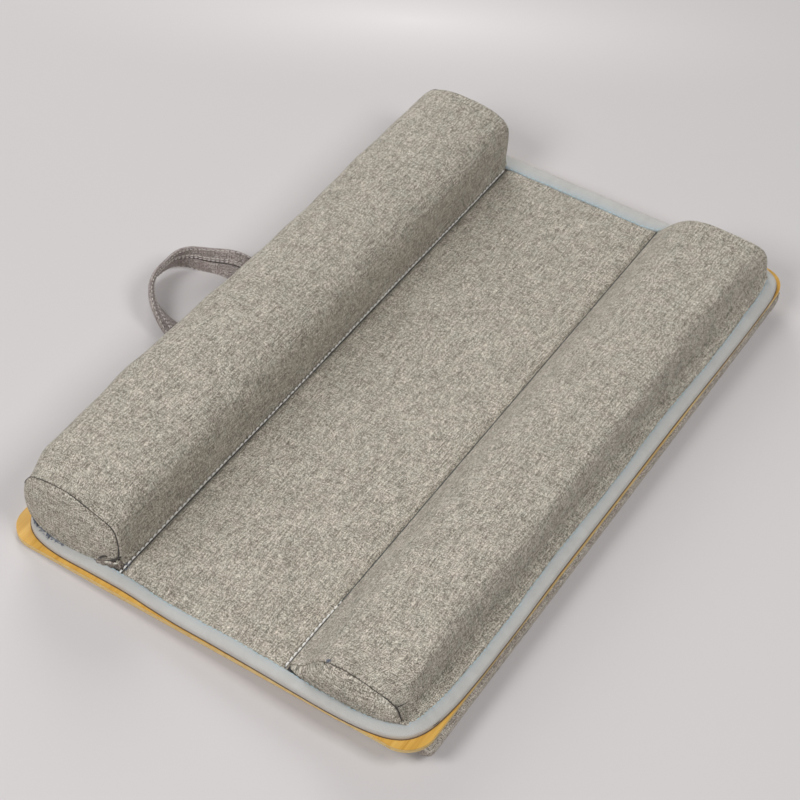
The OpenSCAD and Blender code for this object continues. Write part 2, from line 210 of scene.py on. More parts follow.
def stitchParts(starts, ends, ups, radius):
    # short bowed threads: rings of six points from start to end, sunk at both ends
    t = np.array([0, 0.2, 0.5, 0.8, 1.0])[None, :, None]
    size = np.array([0.45, 0.9, 1.0, 0.9, 0.45]) * radius
    arch = np.array([-0.9, 0.1, 0.35, 0.1, -0.9]) * radius
    along = unitRows(ends - starts)
    side = unitRows(np.cross(along, ups))
    ups = np.cross(side, along)
    around, rings = 6, len(size)
    turn = np.linspace(0, 2 * math.pi, around, endpoint=False)
    centre = between(starts[:, None], ends[:, None], t) + ups[:, None] * arch[None, :, None]
    ring = (centre[:, :, None]
            + side[:, None, None] * (np.cos(turn)[None, None, :, None] * size[None, :, None, None])
            + ups[:, None, None] * (np.sin(turn)[None, None, :, None] * size[None, :, None, None]))
    faces = []
    for first in range(0, len(starts) * rings * around, rings * around):
        for low in range(first, first + (rings - 1) * around, around):
            for k in range(around):
                a, b = low + k, low + (k + 1) % around
                faces.append([a, b, b + around, a + around])
        faces.append([first + k for k in range(around)][::-1])
        faces.append([first + (rings - 1) * around + k for k in range(around)])
    corners = sum(len(face) for face in faces)
    return turnedOut({"points": ring.reshape(-1, 3), "faces": faces, "uv": np.zeros((corners, 2))})


def addPiece(name, parts, material, body="desk", stands=()):
    # one mesh object from several closed parts, with their lattice coordinates as its UV map
    points, faces, uvs, start = [], [], [], 0
    for part in parts:
        points.append(part["points"])
        faces += [[k + start for k in face] for face in part["faces"]]
        uvs.append(part["uv"])
        start += len(part["points"])
    mesh = bpy.data.meshes.new(name)
    mesh.from_pydata((np.vstack(points) * metre).tolist(), [], faces)
    layer = mesh.uv_layers.new(name="cloth")
    layer.uv.foreach_set("vector", np.vstack(uvs).astype(np.float32).ravel())
    mesh.polygons.foreach_set("use_smooth", [True] * len(mesh.polygons))
    mesh.materials.append(material)
    piece = bpy.data.objects.new(name, mesh)
    bpy.context.scene.collection.objects.link(piece)
    if body:
        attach(piece, body)
    if stands:
        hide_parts(*stands)
    return piece


# materials

def newMaterial(name):
    # a material, a maker of its nodes, and a function that dresses its shader
    material = bpy.data.materials.new(name)
    material.use_nodes = True
    tree = material.node_tree

    def fill(target, inputs):
        for key, value in inputs.items():
            if isinstance(value, bpy.types.NodeSocket):
                tree.links.new(value, target.inputs[key])
            else:
                target.inputs[key].default_value = value

    def node(kind, inputs=None, **settings):
        made = tree.nodes.new("ShaderNode" + kind)
        for key, value in settings.items():
            setattr(made, key, value)
        fill(made, inputs or {})
        return made

    def dress(colour, look, height=None):
        # colour, bump and the shader's other values
        inputs = {"Base Color": colour, **look["shader"]}
        if height is not None:
            bump = node("Bump", {"Height": height, "Strength": look["bump"], "Distance": look["bumpReach"]})
            inputs["Normal"] = bump.outputs["Normal"]
        fill(tree.nodes["Principled BSDF"], inputs)

    return material, node, dress


def ramp(node, value, stops):
    # a colour ramp with stops of (place, colour)
    made = node("ValToRGB", {"Fac": value})
    elements = made.color_ramp.elements
    while len(elements) < len(stops):
        elements.new(0.5)
    for element, (place, colour) in zip(elements, stops):
        element.position = place
        element.color = (*colour, 1)
    return made.outputs["Color"]


def stretched(node, value, low, high):
    return node("MapRange", {"Value": value, "From Min": low, "From Max": high}).outputs["Result"]


def mathNode(node, operation, a, b):
    return node("Math", {0: a, 1: b}, operation=operation).outputs[0]


def weighted(node, terms, level=0.0):
    # each value times its share, added to the level
    for value, share in terms:
        level = mathNode(node, "ADD", level, mathNode(node, "MULTIPLY", value, share))
    return level


def noise(node, place, scale, detail, **more):
    return node("TexNoise", {"Vector": place, "Scale": scale, "Detail": detail, **more}).outputs["Fac"]


def bands(node, place, direction, scale, wander, more=()):
    inputs = {"Vector": place, "Scale": scale, "Distortion": wander, **dict(more)}
    return node("TexWave", inputs, wave_type="BANDS", bands_direction=direction).outputs["Fac"]


def mapped(node, place, **change):
    return node("Mapping", {"Vector": place, **change}).outputs["Vector"]


def tinted(node, colour, tint):
    return node("Mix", {0: 1.0, 6: colour, 7: tint}, data_type="RGBA", blend_type="MULTIPLY").outputs[2]


def clothFinish(name, look):
    # mixed yarns: long thin streaks along and across the weave, dark specks, soft clouds and a woven bump
    material, node, dress = newMaterial(name)
    place = node("UVMap", uv_map="cloth").outputs["UV"]

    def streaks(scale, start, detail):
        return noise(node, mapped(node, place, Scale=scale, Location=start), 1.0, detail)

    level = (1 - sum(row[-1] for row in look["noises"])) / 2  # keeps the middle of the tone at one half
    tone = weighted(node, [(streaks(*row[:-1]), row[-1]) for row in look["noises"]], level)
    tint = ramp(node, streaks(*look["tintNoise"]), look["tints"])
    u, v = (bands(node, place, way, look["weaveScale"], look["weaveWander"], {"Detail": 0.0}) for way in "XY")
    height = weighted(node, [(mathNode(node, "MULTIPLY", u, v), look["weaveShare"])], tone)
    dress(tinted(node, ramp(node, tone, look["colours"]), tint), look, height)
    return material


# noises: waves per metre in x, y and z, where the noise starts, its detail, and its share of the tone
clothLook = {
    "noises": [((75, 1450, 1), (3.1, 0.7, 0.2), 0, 0.54), ((1450, 97.5, 1), (11.4, 5.2, 1.3), 0, 0.34),
               ((300, 1450, 1), (7.7, 2.6, 0.9), 0, 0.40), ((1450, 300, 1), (1.7, 9.1, 2.9), 0, 0.40),
               ((1650,) * 3, (2.3, 8.8, 0.4), 0, 1.35), ((30,) * 3, (6.1, 1.9, 4.2), 3, 0.12)],
    "tintNoise": ((95,) * 3, (4.4, 3.3, 2.2), 1),
    "tints": [(0.3, (1.03, 0.998, 0.99)), (0.7, (0.998, 1.008, 0.995))],
    "weaveScale": 360, "weaveWander": 0.6, "weaveShare": 0.5, "bump": 0.3, "bumpReach": 0.0005,
    "shader": {"Roughness": 0.92, "Specular IOR Level": 0.2, "Sheen Weight": 0.08, "Sheen Roughness": 0.5},
}
clothColours = {
    "linen": [(0.0, (0.105, 0.095, 0.077)), (0.32, (0.240, 0.219, 0.182)), (0.55, (0.415, 0.382, 0.323)),
              (0.78, (0.610, 0.570, 0.493)), (1.0, (0.800, 0.753, 0.667))],
    "rest": [(0.0, (0.110, 0.097, 0.083)), (0.4, (0.335, 0.300, 0.258)), (0.7, (0.560, 0.510, 0.450)),
             (1.0, (0.800, 0.750, 0.680))],
    "strap": [(0.0, (0.120, 0.102, 0.098)), (0.35, (0.230, 0.200, 0.190)), (0.65, (0.370, 0.325, 0.310)),
              (1.0, (0.600, 0.545, 0.520))],
    "lining": [(0.0, (0.30, 0.28, 0.24)), (0.4, (0.50, 0.47, 0.41)), (0.7, (0.66, 0.63, 0.56)),
               (1.0, (0.80, 0.77, 0.70))],
    # painted shade: the linen darkened for the rolled fold at the gathered corner
    "turnedShaded": [(0.0, (0.06, 0.05, 0.04)), (0.4, (0.15, 0.13, 0.11)), (0.7, (0.27, 0.24, 0.21)),
               (1.0, (0.42, 0.39, 0.35))],
}
cloth = {key: clothFinish(key + "Cloth", dict(clothLook, colours=colours))
         for key, colours in clothColours.items()}


def tapeFinish(name, look):
    # folded tape: fine slanting ribs, a tint that turns darker and bluer towards the inner edge, and a soft
    # sheen
    material, node, dress = newMaterial(name)
    place = node("UVMap", uv_map="cloth").outputs["UV"]
    slant = mapped(node, place, Rotation=(0, 0, look["ribTurn"]))
    ribs = bands(node, slant, "X", look["ribScale"], look["ribWander"], {"Detail": 1.0, "Detail Scale": 2.0})
    grime, fuzz = (noise(node, place, *look[key]) for key in ("grime", "fuzz"))
    tone = weighted(node, zip((ribs, grime, fuzz), look["shares"]))
    across = node("SeparateXYZ", {"Vector": place}).outputs["Y"]
    innerTint = stretched(node, weighted(node, [(grime, look["soilWander"])], across), *look["soilRun"])
    plain = ramp(node, stretched(node, tone, *look["toneRange"]), look["colours"])
    dress(tinted(node, plain, ramp(node, innerTint, look["tints"])), look, tone)
    return material


tape = tapeFinish("bindingTape", {
    "ribTurn": 0.9, "ribScale": 420, "ribWander": 1.2, "grime": (60, 4), "fuzz": (1500, 1),
    "shares": (0.6, 0.4, 0.35), "toneRange": (0.3, 0.8), "soilWander": 0.004, "soilRun": (0.005, 0.016),
    "bump": 0.35, "bumpReach": 0.0003,
    "colours": [(0.0, (0.400, 0.398, 0.388)), (0.5, (0.530, 0.527, 0.512)), (1.0, (0.650, 0.645, 0.625))],
    "tints": [(0.0, (0.93, 0.90, 0.87)), (0.5, (0.88, 0.885, 0.88)), (0.8, (0.78, 0.84, 0.87)),
              (1.0, (0.66, 0.75, 0.81))],
    "shader": {"Roughness": 0.7, "Specular IOR Level": 0.3, "Sheen Weight": 0.15},
})


def threadFinish(name, look, light, dark):
    # twisted yarn: fine bands round the stitch and a little colour change from stitch to stitch
    material, node, dress = newMaterial(name)
    place = node("TexCoord").outputs["Object"]
    twist = bands(node, place, "DIAGONAL", *look["twist"])
    tone = weighted(node, zip((twist, noise(node, place, *look["change"])), look["shares"]))
    dress(ramp(node, tone, [(0.15, dark), (0.75, light)]), look, twist)
    return material


threadLook = {"twist": (900, 2), "change": (180, 1), "shares": (0.4, 0.6), "bump": 0.4, "bumpReach": 0.0002,
              "shader": {"Roughness": 0.6, "Sheen Weight": 0.2}}
# the dark and the brown threads are painted shade: tubes laid in seams, creases, grooves and along the
# binding's foot, where only shadow falls
threadColours = {
    "white": ((0.93, 0.92, 0.89), (0.80, 0.78, 0.74)), "dark": ((0.060, 0.050, 0.040), (0.020, 0.017, 0.014)),
    "navy": ((0.200, 0.230, 0.300), (0.060, 0.075, 0.110)), "blue": ((0.50, 0.66, 0.72), (0.34, 0.50, 0.58)),
    "shadeBrown": ((0.17, 0.10, 0.055), (0.09, 0.05, 0.028)), "grey": ((0.72, 0.67, 0.64), (0.46, 0.42, 0.40)),
}
thread = {key: threadFinish(key + "Thread", threadLook, *colours) for key, colours in threadColours.items()}


def woodFinish(name, look):
    # straight grain along the board: long stretched noise, darker pores and thin layers seen on the edge
    material, node, dress = newMaterial(name)
    place = node("TexCoord").outputs["Object"]
    grain = noise(node, mapped(node, place, Scale=look["drawn"]), 1, 5, Roughness=0.6, Distortion=0.3)
    pores = noise(node, mapped(node, place, Scale=look["pores"]), 1, 2)
    plies = bands(node, place, "Z", look["plyScale"], 0.3)
    tone = weighted(node, zip((grain, pores, plies), look["shares"]), -look["shares"][2] / 2)
    low, high = look["rough"]
    rough = node("MapRange", {"Value": grain, "To Min": low, "To Max": high}).outputs["Result"]
    colour = ramp(node, stretched(node, tone, *look["toneRange"]), look["colours"])
    dress(colour, dict(look, shader={"Roughness": rough}), tone)
    return material


woodLook = {"toneRange": (0.30, 0.72), "bump": 0.25, "bumpReach": 0.0002}
faceWood = woodFinish("faceWood", dict(woodLook, **{
    "drawn": (9, 260, 260), "pores": (60, 1800, 1800), "rough": (0.35, 0.55), "plyScale": 0,
    "shares": (0.75, 0.25, 0),
    "colours": [(0.0, (0.560, 0.280, 0.045)), (0.5, (0.700, 0.400, 0.080)), (1.0, (0.790, 0.500, 0.130))]}))
coreWood = woodFinish("coreWood", dict(woodLook, **{
    "drawn": (14, 200, 1500), "pores": (120, 900, 2600), "rough": (0.45, 0.65), "plyScale": 240,
    "shares": (0.75, 0.25, 0.2),
    "colours": [(0.0, (0.470, 0.270, 0.075)), (0.4, (0.740, 0.520, 0.200)), (1.0, (0.870, 0.700, 0.360))]}))


def plainLayer(name, look, colour, scale):
    # felt, foam, glue and cloth layers that are hidden inside the desk
    material, node, dress = newMaterial(name)
    tone = noise(node, node("TexCoord").outputs["Object"], scale, 3)
    dark = tuple(c * 0.8 for c in colour)
    dress(ramp(node, tone, [(0.35, dark), (0.65, colour)]), look, tone)
    return material


innerLook = {"bump": 0.3, "bumpReach": 0.0003, "shader": {"Roughness": 0.9}}
innerLayers = {
    "foamTape": (["rear_foam_tape", "centre_foam_tape", "front_foam_tape"], (0.78, 0.78, 0.74), 900),
    "backingCloth": (["pad_backing"], (0.09, 0.09, 0.09), 700),
    "glueLayer": (["wrist_rest_glue"], (0.80, 0.74, 0.56), 120),
}
finishes = {"board_core": coreWood, "pad_face_veneer": faceWood, "work_face_veneer": faceWood}
for finish, (names, colour, scale) in innerLayers.items():
    layer = plainLayer(finish, innerLook, colour, scale)
    finishes.update({name: layer for name in names})
for name, finish in finishes.items():
    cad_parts[name].material_slots[0].material = finish
print("materials made")


# cushions

heights = {"cloth": 7.7, "base": 6.7, "binding": 4.1, "bindingTop": 10.0}
waves = [(170, 0.3, 1.0), (96, 1.9, 2.2), (61, 0.9, 0.4), (43, 2.6, 5.1)]  # length, direction and phase


def seamShare(section, look):
    # 1 where the seam is drawn in, and 0 near both feet, where the cloth runs on round the corner
    low, high = look["seamReach"]
    return ease((section[:, 0] - low) / look["seamEase"]) * ease((high - section[:, 0]) / look["seamEase"])


def bolsterPart(look):
    # sections along X, blended: end section, near section, far section; both ends roll into the seam's groove
    endSection, near, far = (smoothLine(look[key], look["rows"], 500)
                             for key in ("endSection", "nearSection", "farSection"))
    lip, nearX, farX, fine = look["lip"], look["nearX"], look["farX"], look["fineRun"]
    # from inside the groove to the lip's top
    turn = np.linspace(math.radians(look["lipTurn"]), 0, look["lipSteps"])
    steps = np.linspace(0, 1, look["fineSteps"], endpoint=False)[1:]
    middle = np.linspace(nearX + lip + fine, farX - lip - fine, look["steps"])
    body = np.concatenate([nearX + lip + fine * steps, middle, farX - lip - fine * steps[::-1]])
    xs = np.concatenate([nearX + lip * (1 - np.sin(turn)), body, farX - lip * (1 - np.sin(turn[::-1]))])
    curl = np.concatenate([1 - np.cos(turn), np.zeros(len(body)), 1 - np.cos(turn[::-1])])
    # the front wall turns out only near its far end
    power = 1 + look["wallPower"] * ease((look["wallFrom"] - near[:, 0]) / look["wallRun"])
    share = np.clip((xs - nearX) / (farX - nearX), 0, 1)[None, :, None] ** power[:, None, None]
    flat = between(near[:, None], far[:, None], share)
    (foot, rise), (short, long) = look["endRise"], look["endRun"]
    reach = short + (long - short) * ease((near[:, 1] - foot) / rise)
    atEnd = 1 - ease((xs[None, :] - nearX) / reach[:, None])
    flat = between(flat, endSection[:, None], atEnd[..., None])
    base, (run, drop) = heights["cloth"], look["farRoll"]
    flat[..., 1] = base + (flat[..., 1] - base) * (1 - drop * (1 - np.clip((farX - xs) / run, 0, 1)) ** 2)
    arc = lengthAlong(near)
    step = unitRows(np.gradient(flat, axis=0))
    outward = np.stack([-step[..., 1], step[..., 0]], -1) * look["outwardSign"]
    seam = seamShare(near, look)
    inward = lip * (np.minimum(curl[None, :], 1) + np.clip(curl[None, :] - 1, 0, 1) * seam[:, None])
    facing = np.clip(outward @ np.array(look["facing"]), 0, 1) ** 2  # 1 where the photograph sees the outline
    swell = np.interp(xs, *np.array(look["swell"]).T)[None, :] * facing
    rough = unevenness(xs[None, :], arc[:, None], waves, look["uneven"]) * (1 - atEnd * look["endEven"])
    rough *= ease((flat[..., 1] - base) / look["footRise"])  # none at the foot
    surface = flat + outward * (rough + swell - inward)[..., None]
    points = np.concatenate([np.broadcast_to(xs, flat.shape[:2])[..., None], surface], -1)
    least, more = look["seamDeep"]
    deep = lip * (least + more * seam)[:, None]
    rings = []
    for column, x, side in ((0, nearX, -1), (-1, farX, 1)):
        ring = flat[:, column] - outward[:, column] * deep
        rings.append((np.column_stack([x - side * look["seamOut"] * seam, ring]), side))
    return points, gridUv(xs, arc), rings


def gathered(points, folds, outward):
    # presses creases in along short lines; each has its line, its width and its depth, and fades at its ends
    normals = unitRows(np.cross(np.gradient(points, axis=0), np.gradient(points, axis=1)))
    if np.sum(normals * outward) < 0:
        normals = -normals
    beyond, steepness = 0.12, 4
    push = np.zeros(points.shape[:2])
    for line, width, depth in folds:
        gap, place = lineDistance(points, line)
        fade = np.clip(steepness * np.minimum(place + beyond, 1 + beyond - place), 0, 1)
        push -= depth * np.exp(-(gap / width) ** 2) * fade
    return points + normals * push[..., None]


def underside(points):
    # three rows that join the two long edges of a cover by a flat underside
    rows = np.stack([between(points[-1], points[0], t) for t in (0.0, 0.5, 1.0)])
    rows[..., 2] = heights["base"]
    return rows


def interpolation(wanted, known):
    # weights that give the values at the wanted places from those at the known ones
    return np.stack([np.interp(wanted, known, row) for row in np.eye(len(known))], 1)


def puffed(name, points, look):
    # air pressure on a coarse cloth copy of a cover; the cover takes the copy's movement, with a cap
    m, n = points.shape[:2]
    rows = np.unique(np.linspace(0, m - 1, look["copyRows"]).round().astype(int))
    at = points[m // 2, :, 0]
    wanted = np.linspace(at[0] + look["inset"], at[-1] - look["inset"], look["copyCols"])
    cols = np.unique(np.concatenate([[0], np.searchsorted(at, wanted), [n - 1]]).astype(int))
    coarse = points[np.ix_(rows, cols)]
    under = np.concatenate([coarse, underside(coarse)])
    part = gridPart(under, np.zeros((len(under) + 1, len(cols), 2)))
    mesh = bpy.data.meshes.new(name)
    mesh.from_pydata((part["points"] * metre).tolist(), [], part["faces"])
    copy = bpy.data.objects.new(name, mesh)
    bpy.context.scene.collection.objects.link(copy)
    free = np.zeros(under.shape[:2], bool)
    free[2:len(rows) - 2, 2:-2] = True  # held at its edges and underneath
    copy.vertex_groups.new(name="held").add(np.flatnonzero(~free.ravel()).tolist(), 1.0, "REPLACE")
    settings = copy.modifiers.new("cloth", "CLOTH").settings
    for key, value in look["cloth"].items():
        setattr(settings, key, value)
    settings.effector_weights.gravity = 0.0
    for step in range(1, look["frames"] + 1):
        bpy.context.scene.frame_set(step)
    settled = copy.evaluated_get(bpy.context.evaluated_depsgraph_get()).to_mesh()
    after = np.empty(len(settled.vertices) * 3)
    settled.vertices.foreach_get("co", after)
    moved = (after.reshape(under.shape) / metre - under)[:len(rows)]
    bpy.data.objects.remove(copy)
    bpy.context.scene.frame_set(1)
    size = np.linalg.norm(moved, axis=-1, keepdims=True)
    print(name, "moved: mean %.2f, most %.2f mm" % (size.mean(), size.max()))
    level = np.clip(np.minimum(at[cols] - at[0], at[-1] - at[cols]) / look["levelRun"], 0, 1)[None, :, None]
    moved -= moved.mean(1, keepdims=True) * level  # the sections keep their measured shape
    size = np.linalg.norm(moved, axis=-1, keepdims=True)
    moved *= look["cap"] * np.tanh(size / look["cap"]) / np.maximum(size, 1e-9)
    down, along = interpolation(np.arange(m), rows), interpolation(at, at[cols])
    fine = np.einsum("ma,abk,nb->mnk", down, moved, along)
    for _ in range(look["soften"]):
        fine[1:-1] = (fine[:-2] + 2 * fine[1:-1] + fine[2:]) / 4
        fine[:, 1:-1] = (fine[:, :-2] + 2 * fine[:, 1:-1] + fine[:, 2:]) / 4
    return points + fine


airFill = {
    "copyRows": 40, "copyCols": 84, "inset": 3, "frames": 20, "levelRun": 25, "cap": 1.6, "soften": 6,
    "cloth": {"quality": 6, "mass": 0.3, "air_damping": 2.0, "tension_stiffness": 12.0,
              "compression_stiffness": 12.0, "shear_stiffness": 6.0, "bending_stiffness": 0.8,
              "use_pressure": True, "uniform_pressure_force": 4.0, "vertex_group_mass": "held"},
}


def endPanelPart(ring, bottom, look, side):
    # a sewn end panel: strips from the seam down to the foot, drawn into the seam and bulged between
    t = np.concatenate([look["panelEdge"], np.linspace(*look["panelRows"])])
    foot = smoothLine(bottom, len(ring), 300)
    points = between(ring[:, None], foot[:, None], t[None, :, None])
    down = np.linalg.norm(foot - ring, axis=1)[:, None] * t
    rounded = np.clip(np.sin(math.pi * np.linspace(0, 1, len(ring))), 0, 1)[:, None] ** 0.5
    bulge = look["bulge"] * np.sin(math.pi * t ** look["bulgeLean"]) * rounded
    lipOut = look["panelLip"] * (1 - np.exp(-down / look["panelLipRun"])) * (1 - t ** 2) * rounded
    rough = unevenness(points[..., 1], points[..., 2], waves[1:], look["panelUneven"]) * rounded
    points[..., 0] += side * (bulge + lipOut + rough * np.sin(math.pi * t))
    return points, points - [side * look["panelThick"], 0, 0], points[..., 1:] * metre


def seamShadePart(ring, look, side):
    # a dark tube of painted shade in a seam's groove, standing for the seam's shadow line; thicker where the
    # seam stands open
    path = evenly(ring[seamShare(ring[:, 1:], look) > 0.02] + [side * look["seamShadeOut"], 0, 0], 200)
    t = np.linspace(0, 1, len(path))
    parted = look["openWide"] * np.exp(-((t - look["openAt"]) / look["openRun"]) ** 2) * (side < 0)
    waviness = sum(size * np.sin(times * t + phase) for size, times, phase in look["seamShadeWaves"])
    radii = look["seamShadeThick"] * (1 + waviness) + parted
    return tubePart(path, radii * tapered(t, *look["seamShadeTaper"]))


def footShadePart(foot, look, side):
    # a dark tube of painted shade along the foot of an end panel, the contact shadow where it meets the
    # binding
    trim = look["footTrim"]
    path = smoothLine(foot, 120, 200)[trim:-trim] + [side * look["footOut"], 0, look["footUp"]]
    return tubePart(path, np.full(len(path), look["footThick"]))


def makeBolster(name, look, folds, stands):
    # the cover with its end panels in one piece, and its dark tubes of painted shade (seams, feet, pinches)
    # in another
    points, uv, rings = bolsterPart(look)
    points = puffed(name + "Copy", points, airFill)
    points = gathered(points, folds, points - points.reshape(-1, 3).mean(0))
    under = underside(points)
    closedUv = np.concatenate([uv, under[..., :2] * metre, uv[:1]])
    parts = [gridPart(np.concatenate([points, under]), closedUv)]
    shadeLines = []
    for (ring, side), foot in zip(rings, (look["nearFoot"], look["farFoot"])):
        front, back, panelUv = endPanelPart(ring, foot, look, side)
        front = gathered(front, folds if side < 0 else [], np.array([side, 0.0, 0.0]))
        parts.append(shellPart(front, back, panelUv))
        shadeLines += [seamShadePart(ring, look, side), footShadePart(foot, look, side)]
    piece = addPiece(name, parts, cloth["linen"], stands=stands)
    # painted shade: dark tubes along the pinched creases at the front bolster's near corner
    narrowing = np.linspace(*look["pinchShadeThick"])
    shadeLines += [tubePart(smoothLine(line, len(narrowing), 60), narrowing) for line in look["pinchShade"]]
    addPiece(name + "SeamShade", shadeLines, thread["dark"])


# sections and swell are lists of places, the swell outwards where the photograph sees the outline
coverLook = {
    "steps": 300, "endRun": (13.0, 30.0), "endRise": (9, 16), "endEven": 0.6, "footRise": 12, "lipTurn": 128,
    "lipSteps": 8, "wallFrom": 0, "wallPower": 0, "wallRun": 10, "seamEase": 5, "seamDeep": (1.1, 0.85),
    "seamOut": 0.5, "facing": (0.899, 0.438),
    "panelEdge": [0, 0.012, 0.026, 0.042, 0.062, 0.09, 0.125, 0.165],
    "panelRows": (0.21, 1, 30), "panelThick": 1.0, "panelUneven": 0.5, "seamShadeThick": 0.3,
    "footTrim": 6, "footOut": 0.3, "footUp": 0.1, "footThick": 0.42, "seamShadeTaper": (14, 0.15),
    "seamShadeWaves": [(0.25, 31, 1), (0.2, 83, 0)], "bulgeLean": 0.85, "pinchShadeThick": (0.5, 0.2, 24),
}
rearBolster = dict(coverLook, **{
    "nearX": -261.5, "farX": 263.8, "rows": 130, "fineRun": 14.0, "fineSteps": 20, "lip": 1.2,
    "outwardSign": 1, "uneven": 0.9, "farRoll": (9, 0.022), "seamReach": (79, 166),
    "endSection": [(81.5, 8.0), (82.6, 11.5), (82.9, 16.9), (82.0, 23), (82.4, 34.6), (84.4, 43.0),
        (88.6, 48.3), (97, 51.9), (105.9, 54.9), (117, 58.9), (127.1, 61.2), (140.7, 61.0), (151.8, 59.5),
        (159.0, 56.4), (164.4, 50.0), (167.8, 41.2), (168.9, 31), (168.0, 21.5), (165.8, 13.8), (164.0, 9.3)],
    "nearSection": [(81.5, 8.0), (81.7, 15), (82.4, 23), (83.4, 33), (85.0, 41.5), (88.8, 48.8),
        (95.5, 53.6), (104, 57.3), (114, 60.2), (130, 62.2), (145.0, 63.0), (156, 62.6), (164.2, 60.2),
        (170.4, 54.6), (173.4, 45), (173.6, 34), (171.6, 23), (167.8, 14), (164.0, 9.3)],
    "farSection": [(81.5, 8.0), (82.6, 15), (82.0, 26), (81.9, 37.3), (83.0, 48), (87.5, 55), (93.5, 58.2),
        (100, 60.8), (114.7, 63.4), (133.5, 63.6), (145, 61.9), (153, 59.2), (160, 55.2), (165, 49.5),
        (168, 40), (168.6, 30), (167.6, 21), (165.6, 13.5), (164.0, 9.3)],
    "nearFoot": [(-263.5, 83.2, 15.5), (-264.8, 87.5, 14.8), (-266.2, 93, 12.5), (-267.2, 99, 9.8),
        (-268.9, 108, 8.9), (-269.5, 122.5, 8.8), (-268.5, 141.3, 8.8), (-265.5, 153.5, 8.8),
        (-260.8, 163, 8.8)],
    "farFoot": [(264, 82.5, 9.2), (266.0, 92, 9.0), (267.0, 110, 9.0), (267.0, 125, 9.0), (266.0, 143, 9.0),
        (262, 156, 9.0), (259.5, 163, 9.0)],
    "bulge": 1.8, "panelLip": 1.9, "panelLipRun": 1.6, "seamShadeOut": 0.5, "openAt": 0.0, "openRun": 0.2,
    "openWide": 0.35, "pinchShade": [],
    "swell": [(-262, -1.4), (-235, -2.7), (-200, -1.7), (-135, 1.2), (-85, 0.6), (-20, -1.2), (60, -2.6),
        (110, -2.4), (180, -1.4), (264, -1.0)],
})
frontBolster = dict(coverLook, **{
    "nearX": -264.0, "farX": 264.5, "rows": 140, "fineRun": 30.0, "fineSteps": 44, "lip": 1.0,
    "outwardSign": -1, "uneven": 0.6, "farRoll": (10, 0.03), "seamReach": (-151, -86), "wallFrom": -140,
    "wallPower": 10,
    "swell": [(-264, 0), (266, 0)],
    "endSection": [(-62.4, 6.6), (-63.6, 8.4), (-67, 10.2), (-71.5, 13.0), (-77, 18.5), (-82.6, 25.9),
        (-88, 31), (-94.1, 33.7), (-105.6, 35.2), (-112.3, 34.7), (-119.2, 33.9), (-126, 32.8),
        (-130.6, 31.4), (-136.2, 30.2), (-141.8, 28.9), (-145.3, 27.2), (-148.6, 25.0), (-151.2, 20.5),
        (-153.0, 15), (-154.6, 11.4), (-156.0, 9.6), (-157.4, 8.8), (-158.6, 8.0)],
    "nearSection": [(-62.4, 6.6), (-63.4, 8.6), (-66.0, 11.4), (-70.5, 16), (-76.5, 22.6), (-83.0, 28.6),
        (-90, 32.9), (-98, 35.8), (-107.6, 37.7), (-120, 38.6), (-133.4, 38.9), (-142.4, 38.5),
        (-148.0, 36.9), (-151.0, 33.0), (-152.6, 26.5), (-153.4, 20), (-154.4, 14.2), (-156.6, 10.6),
        (-159.6, 9.5), (-163, 9.2), (-166, 8.4), (-168.2, 7.4)],
    "farSection": [(-62.4, 6.6), (-63.4, 9.2), (-66.4, 13.0), (-71.6, 19.8), (-78.4, 27.2), (-85.8, 32.8),
        (-93.6, 36.4), (-105.8, 38.9), (-119.6, 39.3), (-133.6, 39.3), (-145.8, 38.8), (-153.6, 36.6),
        (-157.8, 32.0), (-159.8, 25), (-160.6, 17), (-161.4, 11.8), (-163.0, 9.8), (-165.6, 8.6),
        (-168.2, 7.4)],
    "nearFoot": [(-268.0, -66, 8.9), (-270.4, -73, 8.9), (-271.8, -84, 8.9), (-272.3, -100, 8.9),
        (-272.1, -122, 8.9), (-270.2, -138, 8.9), (-266.5, -149.5, 8.9), (-260.5, -157.5, 8.9),
        (-256.5, -161.5, 8.9)],
    "farFoot": [(266, -66, 9.0), (266.6, -80, 9.0), (266.8, -100, 9.0), (266.5, -120, 9.0), (264, -140, 9.0),
        (261.5, -154, 9.0), (257, -162.5, 9.0)],
    "bulge": 3.0, "panelLip": 1.4, "panelLipRun": 1.8, "seamShadeOut": 0.4, "openAt": 1.0, "openRun": 0.12,
    "openWide": 0.25,
    "pinchShade": [[(-263.6, -148.4, 24.6), (-261.4, -149.5, 24.0), (-258.9, -150.3, 23.4), (-256, -151.2, 22.4)],
        [(-263.8, -148.4, 24.4), (-264.2, -150.0, 21.2), (-264.4, -151.5, 17.1), (-264.6, -153.3, 12.2)]],
})
# each fold has its line, its width and its depth
rearFolds = [
    ([(-262, 84, 13), (-255, 82.5, 15), (-240, 82, 20)], 2.5, 0.8),
    ([(-268.5, 150, 46), (-269.5, 133, 38), (-269, 120, 31)], 1.6, 0.7),
    ([(-270, 112, 34), (-269.5, 100, 28), (-268, 92, 25)], 1.8, 0.5),
]
frontFolds = [
    ([(-263.5, -148.2, 24.6), (-261.4, -149.3, 24.3), (-258.9, -150.1, 23.6), (-256.5, -150.9, 22.8),
      (-253, -151.8, 21.8)], 1.2, 1.5),
    ([(-263.4, -148.1, 24.4), (-264.0, -149.8, 21.2), (-264.4, -151.3, 17.1), (-264.8, -153.0, 12.4),
      (-264.9, -154.5, 10.0)], 1.1, 1.6),
    ([(-264.2, -147.7, 24.6), (-266.3, -143.4, 24.2), (-269.2, -138.7, 19.9)], 1.3, 1.0),
    ([(-258, -70, 10), (-263, -76, 14), (-267, -84, 14), (-270, -96, 12)], 2.0, 0.9),
]
makeBolster("rearBolster", rearBolster, rearFolds, [
    "cover_fabric", "rear_bolster_filling", "rear_bolster_left_end", "rear_bolster_right_end"])
makeBolster("frontBolster", frontBolster, frontFolds, [
    "front_bolster_filling", "front_bolster_left_end", "front_bolster_right_end"])
print("bolsters made")
